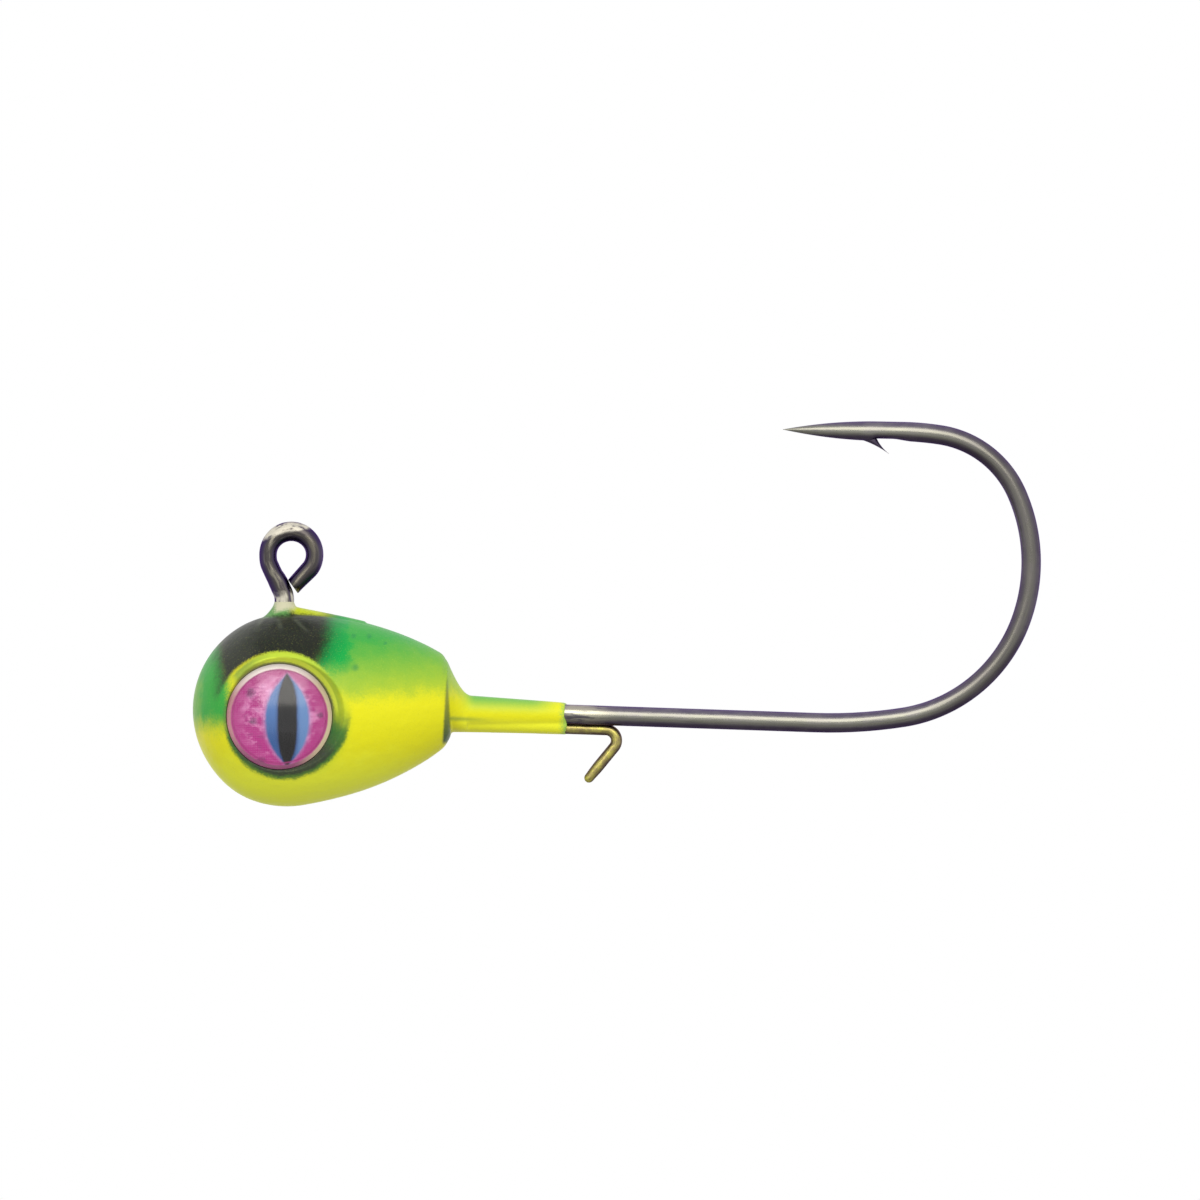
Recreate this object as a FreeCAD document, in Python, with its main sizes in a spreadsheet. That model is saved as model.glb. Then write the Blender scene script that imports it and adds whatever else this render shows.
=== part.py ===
"""Painted jig head with a cast-in hook, a wire bait keeper and stick-on domed eyes.

Frame: millimetres. The origin is the centre of the hook's line eye, +Z runs up along the eye's leg, +X runs
back along the shank to the bend, and the jig's mid-plane is XZ, with its left side towards -Y.
"""
import FreeCAD, Part
import os
from math import acos, atan2, cos, degrees, pi, radians, sin, sqrt

import Sketcher
from FreeCAD import Placement, Rotation, Vector

# Driving dimensions: alias, value, what it is. Lengths in millimetres, angles in degrees.
DIMENSIONS = [
    # hook wire and line eye
    ("wire_diameter", 0.95, "hook wire"),
    ("loop_radius", 1.13, "line eye, to the wire's centreline"),
    ("loop_end_dip", 41.0, "where the loop's arc stops on the cut-end side, below level"),
    ("loop_neck_dip", 26.6, "where the loop's arc stops on the leg side, below level"),
    ("loop_end_gap", 0.03, "between the loop's cut end and the leg"),
    ("leg_offset", 0.31, "leg's centreline ahead of the loop's centre"),
    ("knee_radius", 0.95, "reverse bend between loop and leg"),
    # leg, shank and gape bend
    ("shank_depth", 7.28, "shank's centreline below the loop's centre, at the leg"),
    ("shank_drop", 1.93, "shank's fall towards the bend"),
    ("jig_bend_radius", 1.60, "bend between leg and shank, inside the head"),
    ("shank_length", 25.74, "leg's centreline to the start of the gape bend"),
    ("bend_1_radius", 23.0, "gape bend, lead-in arc"),
    ("bend_1_turn", 10.7, "lead-in arc"),
    ("bend_2_radius", 7.26, "gape bend, heel arc"),
    ("bend_2_turn", 60.9, "heel arc"),
    ("bend_3_radius", 8.27, "gape bend, back arc"),
    ("bend_3_turn", 44.1, "back arc"),
    ("bend_4_radius", 4.85, "gape bend, front arc"),
    ("bend_4_turn", 57.3, "front arc"),
    ("bend_5_radius", 13.6, "gape bend, run-out arc"),
    ("bend_5_turn", 7.9, "run-out arc"),
    ("spear_length", 1.46, "straight wire between the bend and the ground point"),
    # ground point and barb
    ("point_length", 4.35, "ground point"),
    ("point_tip_radius", 0.035, "blunt left at the tip"),
    ("barb_back", 4.45, "barb's throat behind the tip"),
    ("barb_root", 0.72, "barb's thickness along the wire"),
    ("barb_sweep", 0.73, "barb's tip behind its throat"),
    ("barb_height", 0.62, "barb's tip beyond the wire's surface"),
    ("barb_width", 0.46, "barb's width at the root"),
    ("barb_tip_size", 0.05, "barb's width and thickness at its tip"),
    ("relief_depth", 0.10, "ramp that the barb was sliced out of"),
    ("relief_length", 1.20, "same ramp, along the wire"),
    # bait keeper
    ("keeper_diameter", 0.56, "keeper wire"),
    ("keeper_gap", 0.01, "between keeper and shank"),
    ("keeper_hold", 1.82, "straight part's buried end, ahead of the head's rear face"),
    ("keeper_reach", 2.15, "start of the keeper's bend, behind the end of the neck"),
    ("keeper_bend_radius", 0.36, "keeper's bends, to the centreline"),
    ("keeper_turn", 125.7, "bend away from the shank and back towards the head"),
    ("keeper_barb_length", 2.35, "free leg"),
    ("keeper_tip_rounding", 0.16, "rounding of the free leg's end"),
    ("keeper_anchor_turn", 60.0, "kink that locks the buried end"),
    ("keeper_anchor_length", 0.80, "buried leg past the kink"),
    # head
    ("head_diameter", 9.34, "ball of the head"),
    ("head_length", 12.44, "nose to rear face"),
    ("head_ahead", 0.06, "ball's centre ahead of the loop's centre"),
    ("head_top", 2.86, "ball's top below the loop's centre"),
    ("head_tilt", 3.96, "head's axis rises towards the rear"),
    ("flank_radius", 15.3, "arc from the ball to the rear face"),
    ("flank_start", 4.2, "where that arc leaves the ball, behind the ball's equator"),
    ("rear_rounding", 0.5, "rounding of the rear face's edge"),
    ("coat_thickness", 0.06, "baked powder paint"),
    ("cast_feather", 0.03, "thinnest cast wall, where neck and boss run out on the wires"),
    # neck behind the head, boss above it
    ("flare_hold", 0.19, "flare's start ahead of the head's rear face"),
    ("flare_length", 1.07, "flare from the head down to the neck"),
    ("flare_top", 2.40, "flare above the shank's centreline, at the head"),
    ("flare_step", 0.02, "flare's end outside the neck, all round"),
    ("neck_length", 4.75, "neck from the end of the flare"),
    ("neck_root_radius", 0.80, "neck round the shank, at the flare"),
    ("boss_rise", 0.66, "boss's top above the ball's top"),
    ("boss_length", 0.90, "boss round the leg, from its top into the ball"),
    ("boss_base_radius", 1.12, "boss, inside the ball"),
    # eyes
    ("eye_diameter", 5.10, "stick-on eye"),
    ("eye_ahead", 0.46, "eye's centre ahead of the ball's centre"),
    ("eye_drop", 0.31, "eye's centre below the ball's centre"),
    ("socket_gap", 0.05, "between eye and socket, all round"),
    ("socket_depth", 1.67, "socket's floor below the ball's side"),
    ("socket_wall", 0.46, "socket's straight wall, from its floor to its bevel"),
    ("bevel_angle", 35.5, "socket's bevel from the eye's axis"),
    ("pad_inset", 0.05, "pad's edge inside the eye's edge"),
    ("pad_thickness", 0.10, "eye's adhesive pad"),
    ("film_thickness", 0.08, "eye's printed foil"),
    ("dome_edge", 0.14, "eye's clear dome, at its rim"),
    ("dome_crown", 0.62, "eye's clear dome, above its rim"),
]
GAPE_ARCS = 5  # bend_1 to bend_5
FLARE_SECTIONS = 5
FLARE_CURVE = 1.5  # how quickly the flare falls to the neck
KEEPER_OFFSET = "((d.wire_diameter + d.keeper_diameter) / 2 + d.keeper_gap)"  # below the shank's line
KEEPER_LOBE = "(d.keeper_diameter / 2 + d.cast_feather + d.coat_thickness)"  # paint round the keeper
# Places along the shank's line, from the leg.
HEAD_REAR = "(d.head_length - d.head_diameter / 2 + d.leg_offset - d.head_ahead)"
NECK_ROOT = f"({HEAD_REAR} - d.flare_hold + d.flare_length)"
NECK_END = f"({NECK_ROOT} + d.neck_length)"
# Places below the loop's centre, and out from the mid-plane.
HEAD_DEPTH = "(d.head_top + d.head_diameter / 2)"
BOSS_TOP = "(d.head_top - d.boss_rise)"
SOCKET_FLOOR = "(d.head_diameter / 2 - d.socket_depth)"
SIDES = {"left": 90, "right": -90}  # turn about X that points an eye's axis away from the mid-plane
MARGIN = 1.0  # how far a tool or a buried end runs past the face that it meets

doc = FreeCAD.newDocument("jig_head")


def make_sheet():
    """Put the driving dimensions in a spreadsheet and return them as numbers too."""
    sheet = doc.addObject("Spreadsheet::Sheet", "dims")
    for row, (alias, value, note) in enumerate(DIMENSIONS, 1):
        sheet.set(f"A{row}", alias)
        sheet.set(f"B{row}", str(value))
        sheet.set(f"C{row}", note)
        sheet.setAlias(f"B{row}", alias)
    doc.recompute()
    return {alias: value for alias, value, note in DIMENSIONS}


D = make_sheet()

# Depth below the painted surface, as a number and as an expression, of a form's two layers.
INSETS = {"painted": (0.0, "0"), "cast": (D["coat_thickness"], "d.coat_thickness")}


# ---------------------------------------------------------------- helpers

def bind(obj, **properties):
    """Bind properties to expressions, where d. stands for the sheet."""
    for name, expression in properties.items():
        obj.setExpression(name.replace("__", "."), expression.replace("d.", "dims."))
    return obj


def place(obj, x="0", y="0", z="0", axis=(0, 1, 0), angle=None):
    """Bind an object's place, and the angle that it is turned by about a fixed axis."""
    obj.Placement = Placement(Vector(), Rotation(Vector(*axis), 1.0 if angle else 0.0))
    bind(obj, Placement__Base__x=x, Placement__Base__y=y, Placement__Base__z=z)
    if angle:
        bind(obj, Placement__Rotation__Angle=angle)
    return obj


def fused(name, *shapes):
    result = doc.addObject("Part::MultiFuse", name)
    result.Shapes = list(shapes)
    return result


def cut(name, base, tool):
    result = doc.addObject("Part::Cut", name)
    result.Base, result.Tool = base, tool
    return result


def new_body(name):
    return doc.addObject("PartDesign::Body", name)


def new_sketch(body, name, role="XZ_Plane"):
    """A sketch on one of its own body's origin planes."""
    sketch = body.newObject("Sketcher::SketchObject", name)
    plane = [f for f in body.Origin.OriginFeatures if f.Role == role][0]
    sketch.AttachmentSupport = [(plane, "")]
    sketch.MapMode = "FlatFace"
    return sketch


def chain(sketch, *corners):
    """Join pairs of curve ends, each as curve, end, curve, end."""
    for corner in corners:
        sketch.addConstraint(Sketcher.Constraint("Coincident", *corner))


def drive(sketch, kind, geometry, expression, value):
    """Add a dimension to a sketch and bind it to an expression."""
    index = sketch.addConstraint(Sketcher.Constraint(kind, *geometry, value))
    sketch.setExpression(f"Constraints[{index}]", expression.replace("d.", "dims."))


def turn_about(body, sketch, axis):
    """Revolve a profile about one of its sketch's own axes."""
    turned = body.newObject("PartDesign::Revolution", body.Name + "_turned")
    turned.Profile = sketch
    turned.ReferenceAxis = (sketch, [axis])
    turned.Angle = 360
    body.Tip = turned


class Route:
    """A wire's centreline: straight runs and tangent arcs, drawn one after another in a sketch.

    Each length, radius and turn is a driven dimension unless its expression is None.
    """

    def __init__(self, sketch, x, z, heading):
        self.sketch, self.x, self.z = sketch, x, z
        self.heading = radians(heading)
        self.last = None  # (geometry index, its free end)

    def _join(self, index, start, end):
        if self.last:
            self.sketch.addConstraint(Sketcher.Constraint("Tangent", *self.last, index, start))
        self.last = (index, end)
        return index

    def line(self, length, expression=None):
        x = self.x + length * cos(self.heading)
        z = self.z + length * sin(self.heading)
        segment = Part.LineSegment(Vector(self.x, self.z, 0), Vector(x, z, 0))
        index = self._join(self.sketch.addGeometry(segment), 1, 2)
        self.x, self.z = x, z
        if expression:
            drive(self.sketch, "Distance", (index,), expression, length)
        return index

    def arc(self, radius, turn, radius_expression=None, turn_expression=None):
        """A turn to the left if positive, to the right if negative."""
        side = 1 if turn > 0 else -1
        reach = side * radius
        centre = Vector(self.x - reach * sin(self.heading), self.z + reach * cos(self.heading), 0)
        begin = self.heading - side * pi / 2
        finish = begin + radians(turn)
        low, high = (begin, finish) if side > 0 else (finish, begin)
        circle = Part.Circle(centre, Vector(0, 0, 1), radius)
        index = self.sketch.addGeometry(Part.ArcOfCircle(circle, low, high))
        self._join(index, *((1, 2) if side > 0 else (2, 1)))
        self.x = centre.x + radius * cos(finish)
        self.z = centre.y + radius * sin(finish)
        self.heading += radians(turn)
        if radius_expression:
            drive(self.sketch, "Radius", (index,), radius_expression, radius)
        if turn_expression:
            drive(self.sketch, "Angle", (index,), turn_expression, radians(abs(turn)))
        return index


def sweep_round(body, path, name, diameter_expression, diameter):
    """Sweep a round wire along a path sketch, from a profile square to the path's first edge."""
    profile = body.newObject("Sketcher::SketchObject", name + "_section")
    profile.AttachmentSupport = [(path, "Edge1")]
    profile.MapMode = "NormalToEdge"
    profile.MapPathParameter = 0.0
    circle = profile.addGeometry(Part.Circle(Vector(), Vector(0, 0, 1), diameter / 2))
    profile.addConstraint(Sketcher.Constraint("Coincident", circle, 3, -1, 1))
    drive(profile, "Diameter", (circle,), diameter_expression, diameter)
    pipe = body.newObject("PartDesign::AdditivePipe", name)
    pipe.Profile = profile
    pipe.Spine = path
    body.Tip = pipe
    return pipe


# ---------------------------------------------------------------- hook

def shank_point(along, below="0"):
    """Expressions for the X and Z of a point on the shank's line, or square below it."""
    along, below = f"({along})", f"({below})"
    drop = "d.shank_drop * 1 deg"
    x = f"{along} * cos({drop}) - {below} * sin({drop}) - d.leg_offset"
    z = f"-(d.shank_depth + {along} * sin({drop}) + {below} * cos({drop}))"
    return x, z


def hook_route(body):
    """The hook's centreline, from the loop's cut end to the start of the ground point."""
    sketch = new_sketch(body, "hook_route")
    dips = "(d.loop_end_dip + d.loop_neck_dip) * 1 deg"
    dip_cos = cos(radians(D["loop_end_dip"] + D["loop_neck_dip"]))
    dip_sin = sin(radians(D["loop_end_dip"] + D["loop_neck_dip"]))
    bore = D["loop_radius"] - D["wire_diameter"] / 2
    end_run = (bore * (1 + dip_cos) - D["loop_end_gap"]) / dip_sin
    end_dip, neck_dip = radians(D["loop_end_dip"]), radians(D["loop_neck_dip"])
    heading = 90 - D["loop_end_dip"]
    start_x = D["loop_radius"] * cos(end_dip) - end_run * sin(end_dip)
    start_z = -D["loop_radius"] * sin(end_dip) - end_run * cos(end_dip)
    route = Route(sketch, start_x, start_z, heading)

    bore_text = "(d.loop_radius - d.wire_diameter / 2)"
    end = route.line(end_run, f"({bore_text} * (1 + cos({dips})) - d.loop_end_gap) / sin({dips})")
    drive(sketch, "Angle", (end,), "(90 - d.loop_end_dip) * 1 deg", radians(heading))
    loop_turn = 180 + D["loop_end_dip"] + D["loop_neck_dip"]
    loop = route.arc(D["loop_radius"], loop_turn, "d.loop_radius",
                     "(180 + d.loop_end_dip + d.loop_neck_dip) * 1 deg")
    sketch.addConstraint(Sketcher.Constraint("Coincident", loop, 3, -1, 1))

    knee_shift = D["knee_radius"] * (1 - cos(neck_dip))
    route.line((D["loop_radius"] * cos(neck_dip) - D["leg_offset"] - knee_shift) / sin(neck_dip))
    route.arc(D["knee_radius"], -D["loop_neck_dip"], "d.knee_radius")
    jig_turn = 90 - D["shank_drop"]
    tangent = D["jig_bend_radius"] * tan_half(jig_turn)
    leg = route.line(D["shank_depth"] - tangent + route.z)
    sketch.addConstraint(Sketcher.Constraint("Vertical", leg))
    drive(sketch, "DistanceX", (leg, 1, -1, 1), "d.leg_offset", D["leg_offset"])

    route.arc(D["jig_bend_radius"], jig_turn, "d.jig_bend_radius")
    shank = route.line(D["shank_length"] - tangent)
    drive(sketch, "Angle", (shank,), "-d.shank_drop * 1 deg", -radians(D["shank_drop"]))
    x, z = shank_point("d.shank_length")
    drive(sketch, "DistanceX", (-1, 1, shank, 2), x, route.x)
    drive(sketch, "DistanceY", (-1, 1, shank, 2), z, route.z)
    for n in range(1, GAPE_ARCS + 1):
        arc = f"bend_{n}"
        route.arc(D[f"{arc}_radius"], D[f"{arc}_turn"], f"d.{arc}_radius", f"d.{arc}_turn * 1 deg")
    route.line(D["spear_length"], "d.spear_length")
    return sketch, route


def tan_half(angle):
    """Tangent length of a turn, as a share of its radius."""
    return sin(radians(angle) / 2) / cos(radians(angle) / 2)


def ground_point(frame):
    """The needle point: an arc that leaves the wire smoothly, turned about the wire's axis."""
    body = new_body("point_blank")
    sketch = new_sketch(body, "point_profile")
    wire, tip, length = D["wire_diameter"] / 2, D["point_tip_radius"], D["point_length"]
    radius = (length ** 2 + (wire - tip) ** 2) / (2 * (wire - tip))
    base = sketch.addGeometry(Part.LineSegment(Vector(0, 0, 0), Vector(0, wire, 0)))
    circle = Part.Circle(Vector(0, wire - radius, 0), Vector(0, 0, 1), radius)
    ogive = sketch.addGeometry(Part.ArcOfCircle(circle, atan2(tip - wire + radius, length), pi / 2))
    blunt = sketch.addGeometry(Part.LineSegment(Vector(length, tip, 0), Vector(length, 0, 0)))
    axis = sketch.addGeometry(Part.LineSegment(Vector(length, 0, 0), Vector(0, 0, 0)))
    chain(sketch, (base, 2, ogive, 2), (ogive, 1, blunt, 1), (blunt, 2, axis, 1), (axis, 2, base, 1),
          (base, 1, -1, 1))
    sketch.addConstraint(Sketcher.Constraint("Vertical", base))
    sketch.addConstraint(Sketcher.Constraint("Vertical", blunt))
    sketch.addConstraint(Sketcher.Constraint("Horizontal", axis))
    sketch.addConstraint(Sketcher.Constraint("PointOnObject", ogive, 3, -2))
    drive(sketch, "Distance", (base,), "d.wire_diameter / 2", wire)
    drive(sketch, "Distance", (blunt,), "d.point_tip_radius", tip)
    drive(sketch, "Distance", (axis,), "d.point_length", length)
    turn_about(body, sketch, "H_Axis")
    body.Placement = frame
    return body


def barb_wedge(frame):
    """The sliver that was raised out of the wire: a wedge from its root in the wire to its trailing tip."""
    wedge = doc.addObject("Part::Wedge", "barb")
    throat = "(d.point_length - d.barb_back)"
    surface = "d.wire_diameter / 2"
    bind(wedge,
         Xmin=throat, Xmax=f"{throat} + d.barb_root",
         Ymin=f"{surface} - d.barb_width / 2", Ymax=f"{surface} + d.barb_height",
         Zmin="-d.barb_width / 2", Zmax="d.barb_width / 2",
         X2min=f"{throat} - d.barb_sweep", X2max=f"{throat} - d.barb_sweep + d.barb_tip_size",
         Z2min="-d.barb_tip_size / 2", Z2max="d.barb_tip_size / 2")
    wedge.Placement = frame.multiply(Placement(Vector(), Rotation(Vector(1, 0, 0), 90)))
    return wedge


def barb_relief(frame):
    """The ramp behind the barb's throat, as the box that cuts it."""
    box = doc.addObject("Part::Box", "barb_relief")
    bind(box, Length="d.relief_length", Width="d.wire_diameter", Height="d.wire_diameter")
    ramp = degrees(atan2(D["relief_depth"], D["relief_length"]))
    throat = Vector(D["point_length"] - D["barb_back"], 0, D["wire_diameter"] / 2 - D["relief_depth"])
    corner = Vector(-D["relief_length"], -D["wire_diameter"] / 2, 0)
    box.Placement = frame.multiply(Placement(throat, Rotation(Vector(0, 1, 0), ramp))).multiply(
        Placement(corner, Rotation()))
    return box


def make_hook():
    body = new_body("hook_wire")
    path, route = hook_route(body)
    doc.recompute()
    sweep_round(body, path, "hook_pipe", "d.wire_diameter", D["wire_diameter"])
    frame = Placement(Vector(route.x, 0, route.z), Rotation(Vector(0, 1, 0), -degrees(route.heading)))
    blank = fused("hook_blank", body, ground_point(frame))
    relieved = cut("hook_relieved", blank, barb_relief(frame))
    return fused("hook", relieved, barb_wedge(frame))


# ---------------------------------------------------------------- bait keeper

def make_keeper():
    """Thin wire cast in under the shank, bent down and forward into a barb that holds a soft bait."""
    body = new_body("bait_keeper")
    sketch = new_sketch(body, "keeper_route")
    offset = (D["wire_diameter"] + D["keeper_diameter"]) / 2 + D["keeper_gap"]
    drop, kink = radians(D["shank_drop"]), D["keeper_anchor_turn"]
    rear = D["head_length"] - D["head_diameter"] / 2 + D["leg_offset"] - D["head_ahead"]
    start = rear - D["keeper_hold"]
    length = D["keeper_hold"] - D["flare_hold"] + D["flare_length"] + D["neck_length"] + D["keeper_reach"]
    x = start * cos(drop) - offset * sin(drop) - D["leg_offset"]
    z = -(D["shank_depth"] + start * sin(drop) + offset * cos(drop))
    heading = radians(kink) - drop
    radius = D["keeper_bend_radius"]
    x -= D["keeper_anchor_length"] * cos(heading) + radius * (sin(heading) + sin(drop))
    z -= D["keeper_anchor_length"] * sin(heading) + radius * (cos(drop) - cos(heading))
    route = Route(sketch, x, z, degrees(heading))
    route.line(D["keeper_anchor_length"], "d.keeper_anchor_length")
    route.arc(radius, -kink, "d.keeper_bend_radius", "d.keeper_anchor_turn * 1 deg")
    straight = route.line(length)
    drive(sketch, "Angle", (straight,), "-d.shank_drop * 1 deg", -drop)
    corner = f"({NECK_END} + d.keeper_reach)"
    end_x, end_z = shank_point(corner, KEEPER_OFFSET)
    drive(sketch, "DistanceX", (-1, 1, straight, 2), end_x, route.x)
    drive(sketch, "DistanceY", (-1, 1, straight, 2), end_z, route.z)
    drive(sketch, "Distance", (straight,), f"{corner} - {HEAD_REAR} + d.keeper_hold", length)
    route.arc(radius, -D["keeper_turn"], "d.keeper_bend_radius", "d.keeper_turn * 1 deg")
    route.line(D["keeper_barb_length"], "d.keeper_barb_length")
    doc.recompute()
    pipe = sweep_round(body, sketch, "keeper_pipe", "d.keeper_diameter", D["keeper_diameter"])
    doc.recompute()
    tip = Vector(route.x, 0, route.z)
    rims = [n for n, edge in enumerate(pipe.Shape.Edges, 1) if edge.isClosed()]
    nearest = min(rims, key=lambda n: pipe.Shape.Edges[n - 1].CenterOfMass.distanceToPoint(tip))
    rounding = body.newObject("PartDesign::Fillet", "keeper_tip")
    rounding.Base = (pipe, [f"Edge{nearest}"])
    bind(rounding, Radius="d.keeper_tip_rounding")
    body.Tip = rounding
    return body


# ---------------------------------------------------------------- head

def head_turning(layer):
    """Ball and flank, turned about the head's own axis: nose at -X, flat rear face at +X."""
    inset, depth = INSETS[layer]
    body = new_body(f"{layer}_turning")
    sketch = new_sketch(body, f"{layer}_turning_profile")
    ball, flank = D["head_diameter"] / 2 - inset, D["flank_radius"] - inset
    rear = D["head_length"] - D["head_diameter"] / 2 - inset
    rounding = D["rear_rounding"] - inset
    start = radians(90 - D["flank_start"])
    centre = Vector(cos(start), sin(start), 0) * (ball - flank)
    corner_x = rear - rounding
    corner_z = centre.y + sqrt((flank - rounding) ** 2 - (corner_x - centre.x) ** 2)
    meets = atan2(corner_z - centre.y, corner_x - centre.x)
    up = Vector(0, 0, 1)

    axis = sketch.addGeometry(Part.LineSegment(Vector(rear, 0, 0), Vector(-ball, 0, 0)))
    nose = sketch.addGeometry(Part.ArcOfCircle(Part.Circle(Vector(), up, ball), start, pi))
    side = sketch.addGeometry(Part.ArcOfCircle(Part.Circle(centre, up, flank), meets, start))
    round_off = Part.Circle(Vector(corner_x, corner_z, 0), up, rounding)
    corner = sketch.addGeometry(Part.ArcOfCircle(round_off, 0, meets))
    face = sketch.addGeometry(Part.LineSegment(Vector(rear, corner_z, 0), Vector(rear, 0, 0)))
    chain(sketch, (axis, 2, nose, 2), (face, 2, axis, 1), (nose, 3, -1, 1))
    for pair in ((nose, 1, side, 2), (side, 1, corner, 2), (corner, 1, face, 1)):
        sketch.addConstraint(Sketcher.Constraint("Tangent", *pair))
    sketch.addConstraint(Sketcher.Constraint("PointOnObject", axis, 1, -1))
    sketch.addConstraint(Sketcher.Constraint("PointOnObject", axis, 2, -1))
    sketch.addConstraint(Sketcher.Constraint("Vertical", face))
    drive(sketch, "Radius", (nose,), f"d.head_diameter / 2 - {depth}", ball)
    drive(sketch, "Angle", (nose,), "(90 + d.flank_start) * 1 deg", pi - start)
    drive(sketch, "Radius", (side,), f"d.flank_radius - {depth}", flank)
    drive(sketch, "Radius", (corner,), f"d.rear_rounding - {depth}", rounding)
    drive(sketch, "DistanceX", (-1, 1, face, 2), f"d.head_length - d.head_diameter / 2 - {depth}", rear)
    turn_about(body, sketch, "H_Axis")
    return place(body, x="-d.head_ahead", z=f"-{HEAD_DEPTH}", axis=(0, -1, 0), angle="d.head_tilt")


def flare_loft(layer):
    """Where the head falls away to the neck: a loft of circles, flat below and a falling curve above."""
    depth = INSETS[layer][1]
    loft = doc.addObject("Part::Loft", f"{layer}_flare")
    sections = []
    for n in range(FLARE_SECTIONS):
        share = n / (FLARE_SECTIONS - 1)
        fall = (1 - share) ** FLARE_CURVE
        along = f"({NECK_ROOT} - {1 - share} * d.flare_length - {share} * {depth})"
        top = f"(d.neck_root_radius + d.flare_step + {fall} * (d.flare_top - d.neck_root_radius))"
        bottom = f"({KEEPER_OFFSET} + {KEEPER_LOBE} + d.flare_step)"
        circle = doc.addObject("Part::Circle", f"{layer}_flare_{n}")
        bind(circle, Radius=f"({top} + {bottom}) / 2 - {depth}")
        x, z = shank_point(along, f"({bottom} - {top}) / 2")
        sections.append(place(circle, x=x, z=z, angle="(90 + d.shank_drop) * 1 deg"))
    loft.Sections = sections
    loft.Solid = True
    return loft


def along_shank(shape, name, start, below, **sizes):
    """A cylinder or cone on a line parallel to the shank."""
    x, z = shank_point(start, below)
    return place(bind(doc.addObject(shape, name), **sizes), x=x, z=z, angle="(90 + d.shank_drop) * 1 deg")


def head_form(layer):
    """One layer of the head: ball and flank, flare, neck, boss round the leg, and the eyes' sockets."""
    depth = INSETS[layer][1]
    length = f"(d.neck_length - {depth} + {MARGIN})"
    root = f"({NECK_ROOT} - {MARGIN})"
    end_radius = f"(d.wire_diameter / 2 + d.cast_feather + d.coat_thickness - {depth})"
    neck = along_shank("Part::Cone", f"{layer}_neck", root, "0", Height=length,
                       Radius1=f"d.neck_root_radius - {depth}", Radius2=end_radius)
    lobe = along_shank("Part::Cylinder", f"{layer}_keeper_lobe", root, KEEPER_OFFSET, Height=length,
                       Radius=f"{KEEPER_LOBE} - {depth}")
    boss = bind(doc.addObject("Part::Cone", f"{layer}_boss"), Radius1=f"d.boss_base_radius - {depth}",
                Radius2=end_radius, Height=f"d.boss_length - {depth}")
    place(boss, x="-d.leg_offset", z=f"-({BOSS_TOP} + d.boss_length)")
    head = fused(f"{layer}_head", head_turning(layer), flare_loft(layer), neck, lobe, boss)
    sockets = fused(f"{layer}_sockets", *[tool for side in SIDES for tool in socket(layer, side)])
    return cut(f"{layer}_form", head, sockets)


def eye_place(obj, side, out):
    """Put an object's own +Z axis on the eye's axis, with its base at a distance from the mid-plane."""
    sign = "-" if side == "left" else ""
    return place(obj, x="-(d.head_ahead + d.eye_ahead)", y=f"{sign}({out})",
                 z=f"-({HEAD_DEPTH} + d.eye_drop)", axis=(1, 0, 0), angle=f"{SIDES[side]} * 1 deg")


def socket(layer, side):
    """The pocket that takes the eye: a straight wall from a flat floor, then a bevel out to the surface."""
    depth = INSETS[layer][1]
    radius = f"(d.eye_diameter / 2 + d.socket_gap + {depth})"
    wall = doc.addObject("Part::Cylinder", f"{layer}_socket_{side}")
    bind(wall, Radius=radius, Height=f"d.socket_wall + {MARGIN}")
    eye_place(wall, side, f"{SOCKET_FLOOR} - {depth}")
    bevel = doc.addObject("Part::Cone", f"{layer}_bevel_{side}")
    reach = "d.head_diameter / 2"
    bind(bevel, Radius1=radius, Radius2=f"{radius} + {reach} * tan(d.bevel_angle * 1 deg)", Height=reach)
    eye_place(bevel, side, f"{SOCKET_FLOOR} + d.socket_wall - {depth} * tan(d.bevel_angle * 0.5 deg)")
    return [wall, bevel]


# ---------------------------------------------------------------- eyes

def make_disc(name, side, radius, thickness, out):
    """A round pad or foil of the eye."""
    body = new_body(f"{name}_{side}")
    sketch = new_sketch(body, f"{name}_outline_{side}", "XY_Plane")
    circle = sketch.addGeometry(Part.Circle(Vector(), Vector(0, 0, 1), D["eye_diameter"] / 2))
    sketch.addConstraint(Sketcher.Constraint("Coincident", circle, 3, -1, 1))
    drive(sketch, "Radius", (circle,), radius, D["eye_diameter"] / 2)
    pad = body.newObject("PartDesign::Pad", f"{name}_pad_{side}")
    pad.Profile = sketch
    bind(pad, Length=thickness)
    body.Tip = pad
    return eye_place(body, side, out)


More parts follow.
